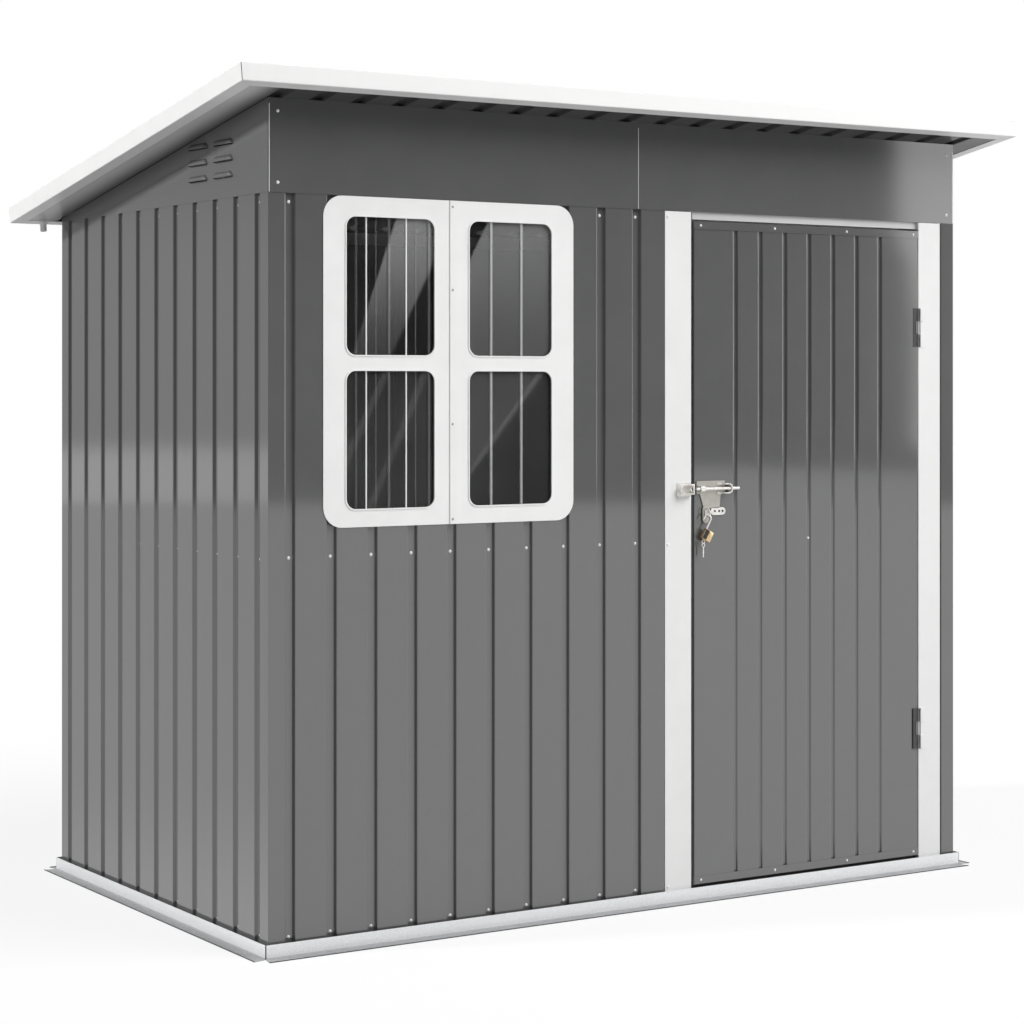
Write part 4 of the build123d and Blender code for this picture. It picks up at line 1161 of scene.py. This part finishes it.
def around(centre, inside, far=60.0, sides=48):
    """An outline in polar steps about a centre: the last sample of each ray that is inside."""
    angle = np.linspace(0, 2 * np.pi, sides, endpoint=False)
    reach = np.linspace(0, far, 2401)
    x = centre[0] + np.cos(angle)[:, None] * reach
    z = centre[1] + np.sin(angle)[:, None] * reach
    last = reach[inside(x, z).sum(1) - 1]
    return np.stack([centre[0] + last * np.cos(angle), centre[1] + last * np.sin(angle)], 1)


def drilled_tab():
    """The tab with three holes: three cells side by side, each a ring about its hole."""
    middle_x = X_LEFT + sum(TAB_X) / 2
    middle_z = sum(TAB_Z) / 2
    half = (TAB_Z[1] - TAB_Z[0]) / 2
    reach = (TAB_X[1] - TAB_X[0]) / 2 - half
    made = []
    for offset, *cell in zip(TAB_HOLES, TAB_CELLS, TAB_CELLS[1:]):

        def inside(x, z, low=cell[0], high=cell[1]):
            along = x - middle_x
            over = np.maximum(np.abs(along) - reach, 0.0)
            return (np.hypot(over, z - middle_z) <= half) & (along >= low) & (along <= high)

        centre = (middle_x + offset, middle_z)
        hole = circle(centre, TAB_HOLE, 48)
        made.append(slab(around(centre, inside), Y_FRONT, Y_FRONT - PLATE, EYE_BEVEL, hole))
    return made


def latch():
    """Slide bolt: plates drawn from outlines, straps and wires carried along paths."""
    front = Y_FRONT - PLATE
    x = X_LEFT
    outline = [(x + u, z) for u, z in TONGUE]
    plate = slab(rounded_loop(outline, TONGUE_CORNERS), Y_FRONT, front)
    lug = stadium((0, 0), LUG_SIZE[1], LUG_SIZE[0])[:, ::-1] + (x + LUG[0], LUG[1])
    lug = slab(lug, front + 0.01, front - 1.0, 0.5)
    mid = GUIDE_HALF - GUIDE_BAR / 2
    start_x = x + sum(GUIDE_X) / 2
    end = arc((x + GUIDE_X[1] - GUIDE_HALF, LATCH_Z), mid, -90, 90, 16)
    guide = np.vstack([[(start_x, LATCH_Z - mid)], end, [(start_x, LATCH_Z + mid)]])
    foot_long, foot_half = GUIDE_FOOT
    feet = []
    for z in (LATCH_Z - mid, LATCH_Z + mid):
        foot = box_outline(start_x - foot_long, start_x, z - foot_half, z + foot_half)
        feet.append(slab(rounded_loop(foot, 1), front, front - 1.5, 0.3))
    behind = ROD_Y + ROD_RADIUS
    before = ROD_Y - ROD_RADIUS
    straps = [
        carried(guide, bar_section(GUIDE_BAR, front, behind + 1.5, 0.4)),
        carried(guide, bar_section(GUIDE_BAR, before - 1.5, front - GUIDE_PROUD, 0.6)),
    ]
    for path in (guide[:9], guide[:8:-1]):
        straps.append(carried(path, bar_section(GUIDE_BAR, behind + 1.6, before - 1.6, 0.1)))
    low, high = LATCH_Z - COLLAR_HALF, LATCH_Z + COLLAR_HALF
    top = ROD_Y - COLLAR_REACH
    collar_path = rounded([(front, low), (top, low), (top, high), (front, high)],
                          COLLAR_BEND, 8, 0.0)
    depth0, depth1 = x + COLLAR_X[0], x + COLLAR_X[1]
    section = [(-1.0, depth0), (-1.0, depth1), (1.0, depth1), (1.0, depth0)]
    collar = crossed(carried(collar_path, section))
    slot = "plated_steel"
    add_piece("latch_tongue_plate", [plate], SATIN, "door", slot, ["latch_plate"])
    add_piece("latch_lug", [lug], SATIN, "door", slot)
    add_piece("latch_guide", [*straps, *feet, collar], PLATED, "door", slot)
    add_piece("latch_tab", drilled_tab(), PLATED, "door", slot)
    ring = circle((Y_FRONT - STAPLE_STANDOFF, STAPLE[1]), STAPLE_RING, 32)
    staple = carried(ring, round_section(STAPLE_WIRE, x + STAPLE[0]), closed=True)
    add_piece("latch_staple", [crossed(staple)], PLATED, "door", slot)
    length = ROD_X[1] - ROD_X[0]
    r = ROD_RADIUS
    profile = [(0.4, 0), (r - 0.8, 0.2), (r, 1.2), (r, 40), (r, 90), (r, length - 1.2),
               (r - 0.8, length - 0.2), (0.4, length)]
    rod = turned(profile, (x + ROD_X[0], ROD_Y, LATCH_Z), (1, 0, 0), 24)
    add_piece("slide_bolt", [rod], PLATED, "bolt_rod", slot, ["bolt"])


def keeper():
    """The keeper on the jamb: a plate, a strap bent round, and an eye for the bolt."""
    y_jamb = Y_FRONT - JAMB_THICKNESS
    face = y_jamb - PLATE
    x0, x1 = X_LEFT + KEEPER_X[0], X_LEFT + KEEPER_X[1]
    plate = slab(rounded_loop(box_outline(x0, x1, *KEEPER_Z), 3.0), y_jamb, face)
    mid = GUIDE_HALF - GUIDE_BAR / 2
    bend = arc((x0 + GUIDE_HALF, LATCH_Z), mid, 90, 270, 16)
    eye_x = x1 - GUIDE_BAR
    path = np.vstack([[(eye_x, LATCH_Z + mid)], bend, [(eye_x, LATCH_Z - mid)]])
    front = face - GUIDE_PROUD
    strap = carried(path, bar_section(GUIDE_BAR, face, front, 0.6))
    outline = around(
        (ROD_Y, LATCH_Z),
        lambda y, z: (y >= front) & (y <= face) & (np.abs(z - LATCH_Z) <= GUIDE_HALF),
        30.0,
    )
    hole = circle((ROD_Y, LATCH_Z), KEEPER_EYE, 48)
    eye = crossed(slab(outline, eye_x, x1, EYE_BEVEL, hole))
    add_piece("keeper_loop", [plate, strap, eye], PLATED, "shed", "plated_steel", ["bolt_keeper"])


def padlock():
    """The open padlock: wires carried along arcs, and a body with round edges, hung tilted."""
    pivot = np.array([
        X_LEFT + STAPLE[0] + LOCK_SHIFT, Y_FRONT - STAPLE_STANDOFF, STAPLE[1] - STAPLE_RING,
    ])
    leg_x = SHACKLE_BEND + SHACKLE_WIRE
    bend_z = STAPLE_WIRE + SHACKLE_PLAY - SHACKLE_BEND
    body_x0 = leg_x - SHACKLE_INSET
    body_top = bend_z - SHACKLE_LEG
    foot = body_top - LOCK_HEIGHT

    def hang(points):
        x, y, z = points.T
        turned_x = x * cos(LOCK_TILT) + z * sin(LOCK_TILT)
        turned_z = z * cos(LOCK_TILT) - x * sin(LOCK_TILT)
        return np.stack([turned_x, y, turned_z], 1) + pivot

    def plumb(points):
        return points + hang(np.array([[leg_x + SHACKLE_INSET, 0.0, foot]]))

    path = np.vstack([
        [(-leg_x, bend_z - SHACKLE_TIP)],
        arc((0, bend_z), leg_x, 180, 0, 20),
        [(leg_x, body_top - 2)],
    ])
    shackle = carried(path, round_section(SHACKLE_WIRE, 0.0, 16))
    outline = rounded_loop(box_outline(body_x0, body_x0 + LOCK_WIDTH, foot, body_top), 2.0, 5)
    depth = LOCK_HALF_DEPTH
    edges = [(inset, depth - back) for inset, back in LOCK_EDGE]
    edges += [(inset, -y) for inset, y in edges[::-1]]
    loops = []
    for inset, y in edges:
        ring = beside(outline, inset, closed=True)
        loops.append(spread(ring[:, 0], y, ring[:, 1]))
    body = tube(np.stack(loops))
    split = body_x0 + COVER_SHARE * LOCK_WIDTH
    cover = rounded_loop(box_outline(
        body_x0 + COVER_INSET, split, foot + COVER_INSET, body_top - COVER_INSET
    ), 1.2)
    covers = [
        slab(cover, side * (depth - 0.3), side * (depth + COVER_PROUD), 0.2) for side in (-1, 1)
    ]
    keys = []
    for drop in KEY_DROPS:
        ring = circle((0.0, -drop), KEY_RING, 24)
        keys.append(carried(ring, round_section(KEY_WIRE, 0.0, 10), closed=True))
    keys.append(slab(rounded_loop(KEY_BLADE, 0.3), KEY_HALF, -KEY_HALF, 0.3))
    for name, parts, change, finish, slot, nodes, smooth in (
        ("padlock_shackle_wire", [shackle], hang, PLATED, "plated_steel", ["padlock_shackle"], 35),
        ("padlock_case", [body], hang, BRASS, "brass", ["padlock_body"], 30),
        ("padlock_cover", covers, hang, BLACK, "dark_hinge", [], 35),
        ("padlock_key_set", keys, plumb, PLATED, "plated_steel", ["padlock_keys"], 35),
    ):
        parts = [moved(part, change) for part in parts]
        add_piece(name, parts, finish, "padlock", slot, nodes, smooth)


# Solids that keep their own mesh

def kept_solids():
    """Finishes of the nodes whose own mesh is shown."""
    for finish, *nodes in (
        (ZINC, "corner_posts", "roof_beam"),
        (ZINC_PLAIN, "top_rails", "mid_rails", "header_rail", "door_head", "door_mid_rail"),
        (GREY_FRONT, "header_left", "header_right", "door_top_cap", "door_bottom_cap"),
        (PLASTIC, "window_frame_left", "window_frame_right"),
    ):
        for node in nodes:
            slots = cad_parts[node].data.materials
            for index in range(len(slots)):
                slots[index] = finish


# Fasteners

def screws(name, body, centres, axis, radius=2.7, proud=2.0, finish=SCREW):
    """Domed heads on washers: a turned profile of radius and height about each centre."""
    profile = [
        (radius * 1.35, 0.0), (radius * 1.35, 0.4), (radius * 1.0, 0.6), (radius * 0.98, 1.2),
        (radius * 0.78, 1.7), (radius * 0.4, proud), (radius * 0.08, proud),
    ]
    made = [turned(profile, centre, axis, 14) for centre in centres]
    add_piece(name, made, finish, body, "plated_steel", smooth=60.0)


def fasteners():
    """Screws on every rib at three heights, on the jamb, the header and the door's caps."""
    top, _, foot = SCREW_ROWS
    beside_window = FRONT_RIBS[(FRONT_RIBS <= WINDOW_X[0]) | (FRONT_RIBS >= WINDOW_X[1])]
    rows = ((top, beside_window), (SILL_SCREWS, FRONT_RIBS), (foot, FRONT_RIBS))
    front = [(X_LEFT + rib, Y_FRONT + RIB_DEPTH, z) for z, ribs in rows for rib in ribs]
    front += [(x, Y_FRONT - SHEET, z) for x in (X_LEFT + 22, X_RIGHT - 22) for z in HEADER_SCREWS]
    front += [(X_LEFT + JAMB_SCREW_X, Y_FRONT - JAMB_THICKNESS, z) for z in JAMB_SCREWS]
    screws("front_screws", "shed", front, (0, -1, 0))
    left = [(X_LEFT + RIB_DEPTH, Y_FRONT + rib, z) for z in SCREW_ROWS for rib in SIDE_RIBS]
    screws("left_screws", "shed", left, (-1, 0, 0))
    screws("right_screws", "shed", [(-x, y, z) for x, y, z in left], (1, 0, 0))
    rear = [(X_RIGHT - rib, Y_BACK - RIB_DEPTH, z) for z in SCREW_ROWS for rib in BACK_RIBS]
    screws("back_screws", "shed", rear, (0, 1, 0))
    caps = [
        (X_LEFT + x, Y_FRONT - 1.2, z) for z in (DOOR_Z[0] + 8, DOOR_Z[1] - 8) for x in CAP_SCREWS
    ]
    caps.append((X_LEFT + DOOR_RIBS[3], Y_FRONT + DOOR_RIB_DEPTH, SCREW_ROWS[1]))
    screws("door_screws", "door", caps, (0, -1, 0), 2.4)
    rivets = [(X_LEFT + RIVET_X, Y_FRONT - 4, z) for z in RIVETS]
    screws("window_rivets", "shed", rivets, (0, -1, 0), 2.0, 1.4, SATIN)


# Studio

def look(direction):
    """Euler angles that turn -Z to a direction with +Y near up."""
    return Vector(direction).to_track_quat("-Z", "Y").to_euler()


def lights():
    """A low key light from the rear left and a large soft box from the front right."""
    sun = bpy.data.lights.new("key", "SUN")
    sun.energy = 3.1
    sun.angle = radians(6)
    box = bpy.data.lights.new("soft_box", "AREA")
    box.shape = "DISK"
    box.size = 13.0
    box.energy = 3280.0
    spot = Vector((7.6, -9.4, 12.1))
    for data, place, direction in (
        (sun, Vector((0, 0, 0)), (1.0, -0.3, -0.43)),
        (box, spot, Vector((0.0, -0.3, 0.9)) - spot),
    ):
        thing = bpy.data.objects.new(data.name, data)
        bpy.context.scene.collection.objects.link(thing)
        thing.location = place
        thing.rotation_euler = look(direction)
        thing.visible_glossy = False


def studio():
    """World: white for the camera, a dim fill, and a studio of dark and bright walls in gloss."""
    world = bpy.data.worlds.new("studio")
    bpy.context.scene.world = world
    world.use_nodes = True
    f = Finish(world.node_tree)
    seen, glossy, clear = f.rays()
    x, y, z = f.axes(f.node("ShaderNodeTexCoord", output=0))
    behind = f.smooth(x * 0.6 - y * 0.8, -0.1, 0.5, 1.0, 0.0)
    band = f.smooth(z, -0.052, -0.044) * f.smooth(z, -0.030, -0.020, 1.0, 0.0)
    rear = f.smooth(z, 0.05, 0.09, 0.43, 0.28) + band * 0.60
    fore = f.smooth(z, 0.01, 0.10, 0.12, 0.03)
    near = radians(41.2)
    far = radians(75.0)
    past_near = f.smooth(x * cos(near) + y * sin(near), -0.002, 0.004)
    past_far = f.smooth(x * -cos(far) + y * -sin(far), -0.02, 0.02)
    height = f.smooth(z, -0.048, -0.036) * f.smooth(z, 0.5, 0.6, 1.0, 0.0)
    panel = past_near * past_far * height
    ceiling = f.smooth(z, 0.2, 0.32, 0.0, 0.9)
    mirror = behind * rear + (1.0 - behind) * fore + panel * 2.3 + ceiling
    plain = clear + (1.0 - clear) * 0.10
    strength = seen + (1.0 - seen) * (glossy * mirror + (1.0 - glossy) * plain)
    background = f.node("ShaderNodeBackground", None, {"Color": PURE, "Strength": strength})
    f.node("ShaderNodeOutputWorld", None, {"Surface": background})


def floor():
    """A wide pale floor, a disc of rings, that turns pure white away from the shed."""
    made, f = material("pale_floor")
    seen, glossy, clear = f.rays()
    x, y, _ = f.axes(f.node("ShaderNodeTexCoord", output=3))
    far = f.smooth(x * x + y * y, 1.3 ** 2, 3.0 ** 2)
    tone = seen * 0.28 + 0.52
    pale = f.node("ShaderNodeCombineColor", None, {0: tone, 1: tone, 2: tone})
    plain = f.node("ShaderNodeBsdfDiffuse", None, {"Color": pale})
    toward = f.smooth(x * 0.54 - y * 0.84, -2.5, 1.0, 0.66, 1.1)
    glow = glossy * toward + (1.0 - glossy)
    white = f.node("ShaderNodeEmission", None, {"Color": PURE, "Strength": glow})
    share = seen * (0.85 + far * 0.15) + glossy + clear
    shader = f.node("ShaderNodeMixShader", None, {0: share, 1: plain, 2: white})
    f.node("ShaderNodeOutputMaterial", None, {"Surface": shader})
    sides = 96
    ring = circle((0.0, 0.0), 1.0, sides)
    points = (FLOOR_RADII[:, None, None] * ring).reshape(-1, 2)
    points = np.vstack([[(0.0, 0.0)], points])
    points = np.column_stack([points, np.zeros(len(points))])
    index = 1 + np.arange(len(FLOOR_RADII) * sides).reshape(-1, sides)
    after = np.roll(index, -1, axis=1)
    faces = [[0, a, b] for a, b in zip(index[0].tolist(), after[0].tolist())]
    faces += np.stack([index[:-1], index[1:], after[1:], after[:-1]], -1).reshape(-1, 4).tolist()
    mesh = bpy.data.meshes.new("floor")
    mesh.from_pydata((points * MM).tolist(), [], faces)
    mesh.materials.append(made)
    thing = bpy.data.objects.new("floor", mesh)
    bpy.context.scene.collection.objects.link(thing)


def camera():
    """The camera fitted to the shed's corners: level, its frame shifted down."""
    data = bpy.data.cameras.new("view")
    data.lens = 86.89
    data.sensor_width = 36.0
    data.shift_y = -0.12698
    thing = bpy.data.objects.new("view", data)
    bpy.context.scene.collection.objects.link(thing)
    thing.location = (-3.27412, -5.14766, 1.19014)
    thing.rotation_euler = Euler((radians(90.0869), 0.0, radians(-32.4041)))
    bpy.context.scene.camera = thing


walls()
roof()
trims()
seams()
spout()
base_rails()
header_seam()
gable("gable_left", -1)
gable("gable_right", 1)
door_leaf()
frames()
glazing()
hinges()
keeper()
latch()
padlock()
kept_solids()
fasteners()
lights()
studio()
floor()
camera()
bpy.context.scene.view_settings.view_transform = "Standard"
